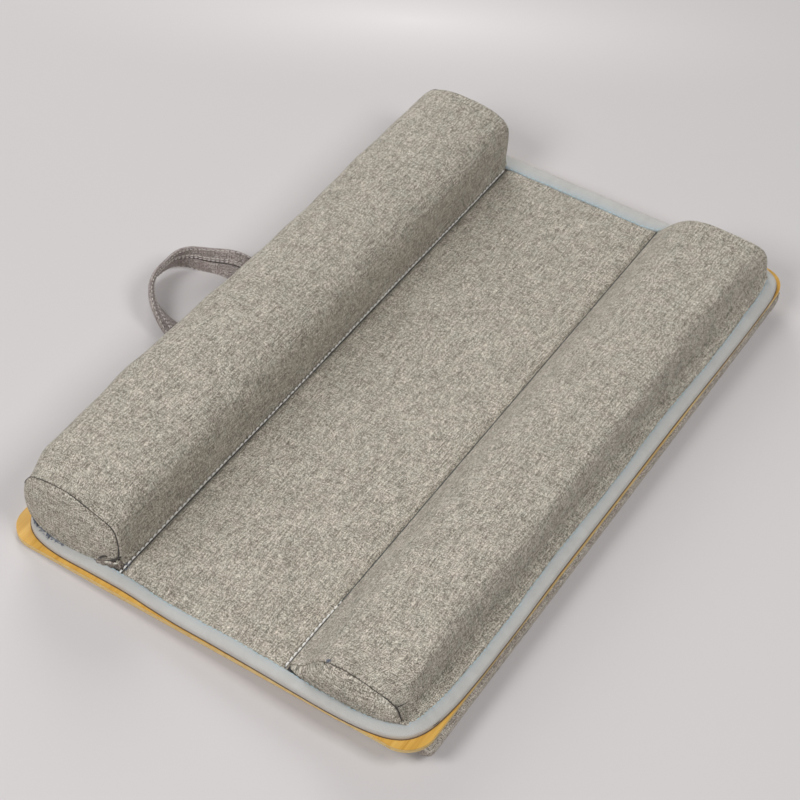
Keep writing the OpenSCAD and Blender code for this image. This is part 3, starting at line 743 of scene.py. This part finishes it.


# gathered corner

# creases and bits have their line and radius, tufts their place, spread and count; the creases are dark tubes
# of painted shade
tuck = {
    "roll": [(-267.4, 101, 8.0), (-265.6, 94.5, 9.2), (-264.4, 89, 9.8), (-262.8, 84.5, 9.8),
        (-260.5, 81.4, 9.0)],
    "rollThick": 3.4, "rollTaper": (8, 0.2), "rollWave": (0.12, 23),
    "creaseShades": [
        ([(-268.3, 97.5, 14.0), (-267.6, 94.6, 17.0), (-267.0, 92.0, 18.8), (-266.6, 90.6, 18.6)], 0.8),
        ([(-266.6, 88.6, 15.8), (-265.6, 86.6, 16.8), (-264.2, 84.9, 17.4), (-262.4, 83.9, 17.9),
          (-261.0, 82.6, 18.2)], 0.9),
        ([(-269.0, 103.5, 9.4), (-268.2, 99.5, 10.0), (-267.6, 96.5, 10.6)], 0.55)],
    "bits": [([(-267.0, 93.5, 11.0), (-266.6, 90.6, 12.8), (-265.6, 88.0, 12.4)], 1.0),
             ([(-265.6, 87.6, 11.6), (-264.4, 85.4, 12.6), (-263.0, 84.2, 12.0)], 0.9)],
    "bitShape": [0.3, 0.7, 1, 1.1, 0.9, 1.1, 1, 0.8, 1, 0.9, 0.7, 0.3],
    "tufts": [((-260.0, 80.4, 8.6), 3.5, 16), ((-263.6, -93.9, 34.0), 1.6, 8)],
    "rags": [(-261.5, 163.5, 9.6), (-266.3, 153.0, 9.8), (-269.3, 141.5, 9.8), (-270.3, 128, 9.4)],
    "ragCount": 60,
    "fibre": np.array([0.4, 0.9, 1, 1, 0.9, 0.4]), "tuftFibre": 0.2, "ragFibre": 0.24,
    "tuftLong": (1.5, 4.5), "ragLong": (2.0, 6.0),
}


def looseThreads(centres, spread, lengths, radii):
    # short bent fibres that leave their places in seeded directions and stay nearly flat
    parts = []
    t = np.linspace(-0.5, 0.5, len(radii))
    mostBent, steepest = 1.2, 0.25
    for centre, length in zip(centres, lengths):
        turn, bend = random.uniform(0, 2 * math.pi), random.uniform(-mostBent, mostBent)
        heading = turn + bend * t
        slope = random.uniform(-steepest, steepest)
        step = np.stack([np.cos(heading), np.sin(heading), slope + 0 * t], 1) * length * t[:, None]
        parts.append(tubePart(centre + random.uniform(-1, 1, 3) * spread + step, radii, around=5))
    return parts


def makeTuck(look):
    # the gathered lower corner of the rear end panel: a rolled fold in a darker copy of the linen as painted
    # shade, dark tubes of painted shade in its creases, bits of lining, and frayed thread ends
    t = np.linspace(0, 1, 40)
    size, times = look["rollWave"]
    thick = look["rollThick"] * (tapered(t, *look["rollTaper"]) ** 0.5 + size * np.sin(t * times))
    path = smoothLine(look["roll"], len(t), 80)
    roll = addPiece("cornerTuck", [tubePart(path, thick, around=20)], cloth["turnedShaded"])
    narrow = np.sin(np.linspace(0.25, 2.9, 20)) ** 0.7
    creaseShades = [tubePart(smoothLine(line, 20, 40), size * narrow) for line, size in look["creaseShades"]]
    addPiece("tuckCreaseShade", creaseShades, thread["dark"])
    shape = np.array(look["bitShape"])
    bits = [tubePart(smoothLine(line, len(shape), 30), size * shape) for line, size in look["bits"]]
    addPiece("liningBits", bits, cloth["lining"])
    fibres = []
    for centre, spread, count in look["tufts"]:
        places, reach = np.tile(np.array(centre), (count, 1)), np.array([spread, spread * 0.6, 0.5])
        lengths = random.uniform(*look["tuftLong"], count)
        fibres += looseThreads(places, reach, lengths, look["tuftFibre"] * look["fibre"])
    edge, reach = smoothLine(look["rags"], look["ragCount"], 100), np.array([0.8, 0.8, 0.6])
    lengths = random.uniform(*look["ragLong"], len(edge))
    fibres += looseThreads(edge, reach, lengths, look["ragFibre"] * look["fibre"])
    addPiece("looseFibres", fibres, thread["navy"])


makeTuck(tuck)
print("corner tuck made")


# centre panel, between the two stitched channels

centrePanel = {
    "rearY": 82.6, "frontY": -63.6, "halfX": 273.0, "crown": 2.8, "rows": 150, "steps": 340,
    "rearStitch": 80.4, "frontStitch": -61.6, "draw": 1.3, "drawWide": 1.5, "uneven": 0.5,
    "unevenRun": 20, "crownRuns": (30, 60), "crownLow": 0.6, "endFlat": 6, "farFlat": 12, "endRun": 22,
    "edgeRise": 0.9, "edgeRun": 5, "sink": 0.6,
}


def makeCentre(look):
    # a padded sheet: drawn down along the stitches, crowned between them, and lower at the binding
    t = np.linspace(-1, 1, look["rows"])
    t = between(t, np.sin(t * math.pi / 2), 0.55)  # more rows beside both stitch lines
    y = (look["rearY"] + look["frontY"]) / 2 - t * (look["rearY"] - look["frontY"]) / 2
    xs, ys = np.meshgrid(np.linspace(-look["halfX"], look["halfX"], look["steps"]), y)
    inner = np.minimum(look["rearStitch"] - ys, ys - look["frontStitch"])
    steep, wide = (ease(inner / run) for run in look["crownRuns"])
    endIn = (look["halfX"] - look["endFlat"] - look["farFlat"] * (xs > 0) - np.abs(xs)) / look["endRun"]
    z = heights["cloth"] + look["crown"] * steep * between(look["crownLow"], 1, wide) * ease(endIn)
    z += unevenness(xs, ys, waves, look["uneven"]) * ease(inner / look["unevenRun"])
    z += look["edgeRise"] * ease(inner / look["edgeRun"])
    z -= look["draw"] * np.exp(-(np.abs(inner) / look["drawWide"]) ** 1.5)
    top = np.stack([xs, ys, z], -1)
    low = np.stack([xs, ys, np.full_like(z, heights["base"] - look["sink"])], -1)
    panel = shellPart(top, low, np.stack([xs, -ys], -1) * metre)
    piece = addPiece("centrePanel", [panel], cloth["linen"], stands=["centre_wadding"])


makeCentre(centrePanel)
print("centre panel made")


# edge binding, a folded tape carried round the pad, with its stitches

# far pairs: from which place and over what length the binding grows wider on its far side
binding = {
    "outline": [(-273.5, 147), (-276.3, 128), (-276.2, 100), (-276.2, 70), (-277.9, 45), (-279, 20),
        (-279.1, -10), (-279.8, -50), (-280.5, -78), (-280.9, -102), (-280.2, -125), (-277.7, -143),
        (-274.5, -153), (-269.5, -160.7), (-261.5, -166.6), (-250, -170.6), (-229, -173.6), (-200, -174.9),
        (-170, -175.1), (-140, -175.0), (-110, -174.5), (-80, -174.3), (-50, -174.4), (10, -174.4),
        (70, -174.3), (100, -174.5), (130, -174.9), (160, -175.3), (190, -175.5), (220, -175.3),
        (240, -174.9), (253, -173.8), (265.4, -169.9), (273.2, -160.4), (277.4, -145), (278.4, -110),
        (278.0, -70), (277.8, -40), (277.6, -18), (277.4, 0), (277.0, 25), (276.8, 50), (276.8, 80),
        (277.0, 110), (275.4, 138), (271.5, 154), (262, 165.5), (248, 171.8), (200, 173.2), (120, 172.6),
        (40, 173.4), (-40, 172.8), (-120, 173.3), (-200, 172.8), (-244, 171.4), (-258, 166.6), (-267.6, 159)],
    "section": [(0.02, 0), (0.0, 0.22), (0.01, 0.46), (0.05, 0.66), (0.14, 0.79), (0.32, 0.88), (0.52, 0.94),
        (0.72, 0.99), (0.88, 1.0), (0.97, 0.93), (1.0, 0.72)],
    "width": 9.4, "height": 5.7, "steps": 900, "pucker": 0.22, "puckerWide": 0.3,
    "puckers": [(9.0, 0.3), (15.3, 2.0), (41, 1.1)], "wander": (0.5, 11, 0.6),
    "farWider": 8.2, "farX": (264, 6), "farFront": (-86, 40), "farRear": (104, 20),
    "underRows": [0.8, 0.2], "underUv": [26, 30, 34], "stitch": 3.4, "gap": 0.9, "stitchIn": 0.75,
    "stitchWander": 0.35, "stitchThick": 0.38, "stitchSink": 0.55, "shadeLineHeight": 0.15, "shadeLineThick": 0.5,
}


def bindingCourse(look):
    # the binding's outer line round the pad, with the way outwards, the running length and the width
    loop = splineThrough(look["outline"], 6000, closed=True)
    path = evenly(np.vstack([loop, loop[:1]]), look["steps"] + 1)[:-1]
    run = lengthAlong(np.vstack([path, path[:1]]))
    total = run[-1]
    angle = 2 * math.pi * run[:-1] / total
    wob = sum(np.sin(np.round(total / length) * angle + phase) for length, phase in look["puckers"])
    wob = wob / len(look["puckers"])
    size, times, phase = look["wander"]
    widths = look["width"] + size * np.sin(times * angle + phase) + look["puckerWide"] * wob
    (farX, xRun), (frontY, frontRun), (rearY, rearRun) = look["farX"], look["farFront"], look["farRear"]
    x, y = path.T
    ends = ease((y - frontY) / frontRun) * ease((rearY - y) / rearRun)
    widths += look["farWider"] * ease((x - farX) / xRun) * ends
    return {"path": path, "out": outwards(path), "run": run, "wob": wob, "widths": widths}


def makeBinding(look, course):
    # half-round profile: from the outer foot over the top down to the inner edge, and flat beneath
    path, out, wob, widths = (course[key] for key in ("path", "out", "wob", "widths"))
    across, high = smoothLine(look["section"], 19, 200).T  # 0 at the outer edge, 1 at the inner edge
    z = heights["binding"] + look["height"] * high[:, None] * (1 + 0.05 * wob[None, :])
    z = z + look["pucker"] * wob[None, :] * np.sin(math.pi * np.clip(across, 0, 1))[:, None]
    shares = np.append(across, look["underRows"])[:, None]
    flat = path[None] - out[None] * (shares * widths)[..., None]
    z = np.vstack([z, np.full((len(look["underRows"]), len(path)), heights["binding"])])
    arc = lengthAlong(np.stack([across * look["width"], high * look["height"]], 1))
    uv = gridUv(course["run"], np.append(arc, look["underUv"]))
    part = gridPart(np.concatenate([flat, z[..., None]], -1), uv, joined=True)
    addPiece("edgeBinding", [part], tape, stands=["edge_binding"])
    # painted shade: a thin brown tube along the binding's outer foot stands for the shadow gap where the tape
    # meets the wood
    line = np.column_stack([path, np.full(len(path), heights["binding"] + look["shadeLineHeight"])])
    shadeLine = tubePart(np.vstack([line, line[:1]]), np.full(len(line) + 1, look["shadeLineThick"]), around=6)
    addPiece("bindingShadeLine", [shadeLine], thread["shadeBrown"])


course = bindingCourse(binding)
makeBinding(binding, course)
print("binding made")


# stitches of the channels and of the binding

stitching = {"nearX": -268.0, "farX": 261.0, "pitch": 5.0, "long": 4.2, "radius": 0.78, "above": 1.1,
             "jitter": (0.15, 0.12), "bow": 0.35, "bowRun": 37.0, "frontSink": 3.4, "frontSinkX": (-232, 40)}


def channelStitches(name, y, look, sink, node):
    # a row of thick stitches along a channel, each a little off its place
    x = np.arange(look["nearX"], look["farX"] - look["long"], look["pitch"])
    off, aside = look["jitter"]
    x = x + random.uniform(-off, off, len(x))
    first, run = look["frontSinkX"]
    z = heights["cloth"] + look["above"] - sink * ease((x - first) / run)
    wander = y + random.uniform(-aside, aside, len(x)) + look["bow"] * np.sin(x / look["bowRun"])
    starts = np.stack([x, wander, z], 1)
    ends = np.stack([x + look["long"], wander + random.uniform(-off, off, len(x)), z], 1)
    parts = [stitchParts(starts, ends, np.tile([0.0, 0.0, 1.0], (len(x), 1)), look["radius"])]
    addPiece(name, parts, thread["white"], stands=[node])


channelStitches("rearChannelStitches", centrePanel["rearStitch"], stitching, 0, "rear_channel_thread")
channelStitches("frontChannelStitches", centrePanel["frontStitch"], stitching, stitching["frontSink"],
                "front_channel_thread")


def bindingStitches(look, course):
    # light blue running stitches just inside the binding's inner edge
    run = course["run"][:-1]
    at = np.arange(0, course["run"][-1] - look["stitch"], look["stitch"] + look["gap"])
    ends = []
    for ahead in (0, look["stitch"]):
        index = np.interp(at + ahead, run, np.arange(len(run)))
        i = np.minimum(index.astype(int), len(run) - 2)
        f = (index - i)[:, None]
        path, out = (between(course[key][i], course[key][i + 1], f) for key in ("path", "out"))
        wander = random.uniform(-look["stitchWander"], look["stitchWander"], (len(i), 1))
        flat = path - out * (course["widths"][i][:, None] - look["stitchIn"] + wander)
        ends.append(np.column_stack([flat, np.full(len(i), heights["bindingTop"] - look["stitchSink"])]))
    parts = [stitchParts(*ends, np.tile([0.0, 0.0, 1.0], (len(at), 1)), look["stitchThick"])]
    addPiece("bindingStitches", parts, thread["blue"])


bindingStitches(binding, course)
print("stitches made")


# carry handle

# bow: x, y, z and turn in degrees; grooves: place across and depth; stitch rows: place across
strap = {
    "bow": [(-52.0, 177.0, 4.9, 0), (-52.9, 190.9, 6.9, 23), (-50.5, 202.2, 10.5, 40),
        (-46.3, 212.8, 13.9, 57), (-39.6, 222.7, 15.4, 74), (-32.5, 230.0, 16.9, 91),
        (-22.8, 235.8, 17.7, 108), (-12.2, 238.0, 17.9, 116), (3.1, 236.2, 18.1, 111),
        (14.6, 228.0, 15.8, 94), (24.7, 214.2, 10.6, 72), (33.0, 197.0, 8.5, 40), (35.4, 177.0, 4.9, 0)],
    "width": 24.0, "thick": 2.6, "tabThick": 1.6, "tabLong": 34.0, "grooves": ((-0.02, 0.45), (-0.42, 0.2)),
    "shadedGrooves": 1, "grooveWide": 0.06, "stitchRows": (-0.30, -0.14, 0.9, -0.9), "steps": 150,
    "rootSteps": 26, "rootGap": (1.6, 0.4),
    "across": [-1, -0.985, -0.95, -0.8, -0.62, -0.54, -0.49, -0.44, -0.39, -0.34, -0.24, -0.15, -0.09, -0.04,
               0.01, 0.07, 0.15, 0.4, 0.6, 0.8, 0.95, 0.985, 1],
    "edgeRound": 0.06, "pillow": 0.08, "pillowAt": -0.04, "upperPillow": 0.3,
    "stitchEnds": 40.0, "stitchPitch": 3.6, "stitchLong": 2.6, "stitchThick": 0.42,
    "stitchLift": -0.58, "grooveShadeEnds": 36, "grooveShadeThick": 0.5,
}


def strapPath(look):
    # a bow that rises and turns on edge towards its middle, with a flat tab at both ends
    bow = splineThrough(look["bow"], look["steps"])
    bow, turn = bow[:, :3], np.radians(bow[:, 3])
    along = np.gradient(bow, axis=0) * [1, 1, 0]
    along[0], along[-1] = (0, 1, 0), (0, -1, 0)
    x, hingeY, hingeZ = bow[0]
    far, near = look["rootGap"]
    tab = np.linspace(hingeY - far - look["tabLong"], hingeY - near, look["rootSteps"])
    left = np.stack([np.full_like(tab, x), tab, np.full_like(tab, hingeZ)], 1)
    right = left[::-1] * [0, 1, 1] + [bow[-1, 0], 0, 0]
    still = np.zeros(len(tab))
    ahead = np.tile([0.0, 1.0, 0.0], (len(tab), 1))
    tabThick = still + look["tabThick"]
    thick = np.concatenate([tabThick, np.full(len(bow), look["thick"]), tabThick])
    return (np.vstack([left, bow, right]), unitRows(np.vstack([ahead, along, -ahead])),
            np.concatenate([still, turn, still]), thick)


def strapSection(look):
    # a folded strap with rounded edges and grooves in its inner face: places across, and heights
    s = np.array(look["across"])
    edge = np.clip((1 - np.abs(s)) / look["edgeRound"], 0, 1) ** 0.5
    crease = sum(deep * np.exp(-((s - middle) / look["grooveWide"]) ** 2) for middle, deep in look["grooves"])
    pillow = look["pillow"] * np.cos(math.pi * (s - look["pillowAt"])) ** 2
    upper, lower = edge * (0.5 + look["upperPillow"] * pillow), crease - edge * (0.5 + pillow)
    return np.concatenate([s, s[::-1][1:-1]]) * look["width"] / 2, np.concatenate([upper, lower[::-1][1:-1]])


def makeStrap(look):
    # the section carried along the path; the stitches, and a dark tube of painted shade in a groove, lie on
    # its inner face
    centre, along, turn, thick = strapPath(look)
    thick = np.convolve(np.pad(thick, 4, mode="edge"), np.ones(9) / 9, mode="valid")
    flatSide = np.stack([along[:, 1], -along[:, 0], 0 * turn], 1)
    side = flatSide * np.cos(turn)[:, None] - np.array([0, 0, 1.0]) * np.sin(turn)[:, None]
    up = np.cross(along, side)
    q, h = strapSection(look)
    points = (centre[None] + side[None] * q[:, None, None] + up[None] * (h[:, None] * thick[None])[..., None])
    run = lengthAlong(centre)
    ring = lengthAlong(np.stack([q, h * look["thick"]], 1))
    body = gridPart(points, gridUv(run, np.append(ring, ring[-1] + 1)))
    piece = addPiece("handleStrap", [body], cloth["strap"], body=None,
                     stands=["handle_strap", "handle_left_tab", "handle_right_tab"])

    def onFace(at, offset, lift):
        # a point of the inner face: running length, share of the half width, and height in thicknesses
        k = np.interp(at, run, np.arange(len(run)))
        i = np.minimum(k.astype(int), len(run) - 2)
        c, sd, u = (between(grid[i], grid[i + 1], (k - i)[:, None]) for grid in (centre, side, up))
        return c + sd * (offset * look["width"] / 2) + u * (thick[i][:, None] * lift), u

    at = np.arange(look["stitchEnds"], run[-1] - look["stitchEnds"], look["stitchPitch"])
    rows = []
    for offset in look["stitchRows"]:
        starts, ups = onFace(at, offset, look["stitchLift"])
        ends = onFace(at + look["stitchLong"], offset, look["stitchLift"])[0]
        rows.append(stitchParts(starts, ends, -ups, look["stitchThick"]))
    stitches = addPiece("handleStitches", rows, thread["grey"], body=None)
    # painted shade: dark tubes laid along the grooves
    at = np.linspace(look["grooveShadeEnds"], run[-1] - look["grooveShadeEnds"], 240)
    lines = [tubePart(onFace(at, middle, deep * 0.75 - 0.5)[0], np.full(len(at), look["grooveShadeThick"]))
             for middle, deep in look["grooves"][:look["shadedGrooves"]]]
    shade = addPiece("handleGrooveShade", lines, thread["dark"], body=None)
    for made in (piece, stitches, shade):
        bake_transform(made)


makeStrap(strap)
print("handle made")


# wrist rest under the front edge

wristRest = {"long": 531.0, "deep": 64.0, "high": 18.0, "x": -2.0, "y": -145.2, "turn": 0.25, "endRound": 9.0,
             "rows": 46, "steps": 240, "roundness": 3.6, "endSpread": 1.35, "endCurve": 2.4,
             "endLeast": 0.004, "endNarrow": 0.05, "uneven": 0.35, "unevenRun": 8}


def makeWristRest(look):
    # flat against the board, rounded below, with ends that round over like a sewn cushion
    angle = math.pi * np.linspace(0, 1, look["rows"])
    power = 2 / look["roundness"]
    y = np.sign(np.cos(angle)) * np.abs(np.cos(angle)) ** power * look["deep"] / 2
    z = -np.abs(np.sin(angle)) ** power * look["high"]
    half = look["long"] / 2
    a = np.linspace(-1, 1, look["steps"])
    x = half * np.sign(a) * (1 - (1 - np.abs(a)) ** look["endSpread"])
    away = np.clip((half - np.abs(x)) / look["endRound"], 0, 1)
    low = np.sqrt(np.clip(1 - (1 - away) ** look["endCurve"], look["endLeast"], 1))
    xs, ys = np.meshgrid(x, y)
    ys = ys * between(1 - look["endNarrow"], 1, low)[None]
    zs = z[:, None] * low[None]
    zs = zs - unevenness(xs, ys, waves, look["uneven"]) * ease(-zs / look["unevenRun"])
    zs = np.maximum(zs, -look["high"])
    c, s = math.cos(math.radians(look["turn"])), math.sin(math.radians(look["turn"]))
    points = np.stack([look["x"] + xs * c - ys * s, look["y"] + xs * s + ys * c, zs], -1)
    arc = lengthAlong(np.stack([y, z], 1))
    part = gridPart(points, gridUv(x, np.append(arc, arc[-1] + look["deep"])))
    piece = addPiece("wristRest", [part], cloth["rest"], stands=["wrist_rest_cover", "wrist_rest_foam"])


makeWristRest(wristRest)
print("wrist rest made")


# studio: floor, lamps and camera, in metres and watts

studio = {
    "floorTilt": 3.19, "floorHalf": 9.0, "hingeY": 0.175, "colour": (0.648, 0.622, 0.620), "darker": 0.985,
    "cloud": (0.8, 1.0), "shader": {"Roughness": 0.9, "Specular IOR Level": 0.1},
    "glow": 0.1, "glowPlace": (0.392, 0.259, 0), "glowTurn": (0, 0, 0.583), "glowReach": (0.115, 0.42, 1),
    "glowLift": 0.3, "worldStrength": 0.12, "worldColour": (1.0, 0.985, 0.98, 1), "lampWide": 0.9,
    "lamps": {"softKey": (27.9, (-1.528, 0.556, 1.626)), "softFront": (21.7, (0.0, -1.478, 1.762)),
              "softBack": (23.0, (1.408, 1.408, 1.15))},
}


def floorFinish(look):
    # the plain floor for the lamps; rays from the camera, gloss and glass see some light of its own too
    material, node, dress = newMaterial("studioFloor")
    place = node("TexCoord").outputs["Object"]
    colour = look["colour"]
    plain = ramp(node, noise(node, place, *look["cloud"]), [
        (0.3, tuple(c * look["darker"] for c in colour)), (0.7, colour)])
    dress(plain, look)
    spot = node("Mapping", {"Vector": place, "Location": look["glowPlace"], "Rotation": look["glowTurn"],
                            "Scale": look["glowReach"]}, vector_type="TEXTURE").outputs["Vector"]
    glow = node("TexGradient", {"Vector": spot}, gradient_type="QUADRATIC_SPHERE").outputs["Fac"]
    bright = weighted(node, [(glow, look["glowLift"] / look["glow"])], 1.0)
    backdrop = node("Emission", {"Color": plain, "Strength": bright}).outputs["Emission"]
    rays = node("LightPath").outputs
    shown = mathNode(node, "MAXIMUM", rays["Is Camera Ray"], rays["Is Glossy Ray"])
    shown = mathNode(node, "MAXIMUM", shown, rays["Is Transmission Ray"])
    seen = mathNode(node, "MULTIPLY", shown, look["glow"])
    tree = material.node_tree
    lit = tree.nodes["Principled BSDF"].outputs["BSDF"]
    mixed = node("MixShader", {0: seen, 1: lit, 2: backdrop}).outputs["Shader"]
    tree.links.new(mixed, tree.nodes["Material Output"].inputs["Surface"])
    return material


def makeFloor(look):
    # a wide plane through the board's rear edge and the underside of the wrist rest
    slope, half = math.tan(math.radians(look["floorTilt"])), look["floorHalf"]
    corners = [(x, y, (y - look["hingeY"]) * slope) for x, y in
               ((-half, -half), (half, -half), (half, half), (-half, half))]
    mesh = bpy.data.meshes.new("studioFloor")
    mesh.from_pydata(corners, [], [(0, 1, 2, 3)])
    mesh.materials.append(floorFinish(look))
    floor = bpy.data.objects.new("studioFloor", mesh)
    bpy.context.scene.collection.objects.link(floor)


def addLamp(name, power, place, size):
    # a soft square lamp that faces the middle of the desk
    lamp = bpy.data.lights.new(name, "AREA")
    lamp.energy, lamp.size = power, size
    lit = bpy.data.objects.new(name, lamp)
    lit.location = place
    lit.rotation_mode = "QUATERNION"
    lit.rotation_quaternion = Vector(place).to_track_quat("Z", "Y")
    bpy.context.scene.collection.objects.link(lit)


def makeWorld(look):
    world = bpy.data.worlds.new("studioWorld")
    bpy.context.scene.world = world
    world.use_nodes = True
    inputs = world.node_tree.nodes["Background"].inputs
    inputs["Color"].default_value = look["worldColour"]
    inputs["Strength"].default_value = look["worldStrength"]


makeFloor(studio)
for name, (power, place) in studio["lamps"].items():
    addLamp(name, power, place, studio["lampWide"])
makeWorld(studio)

# the camera's axes, the desk's place in front of it, and its focal length in pixels of the photograph
cameraView = {
    "right": (0.54256153, -0.83947842, 0.03004963), "down": (-0.59952428, -0.41203824, -0.68614512),
    "ahead": (0.58838561, 0.35426046, -0.72684379), "shift": (15.9, -3.0, 1659.1), "focusPixels": 2181.5,
    "picturePixels": 800, "sensor": 36.0, "nearest": 0.05, "farthest": 60, "deskLift": 4.0,
}


def makeCamera(look):
    # the place from which the board's edges fall where the photograph shows them
    axes = np.array([look["right"], look["down"], look["ahead"]])
    place = np.array([0, 0, look["deskLift"]]) - axes.T @ np.array(look["shift"])
    data = bpy.data.cameras.new("camera")
    data.sensor_width = look["sensor"]
    data.lens = look["focusPixels"] / look["picturePixels"] * look["sensor"]
    data.clip_start, data.clip_end = look["nearest"], look["farthest"]
    camera = bpy.data.objects.new("camera", data)
    turn = Matrix((axes[0], -axes[1], -axes[2])).transposed()
    camera.matrix_world = Matrix.Translation(Vector(place * metre)) @ turn.to_4x4()
    bpy.context.scene.collection.objects.link(camera)
    bpy.context.scene.camera = camera


makeCamera(cameraView)
bpy.context.scene.view_settings.view_transform = "Standard"
print("studio made")
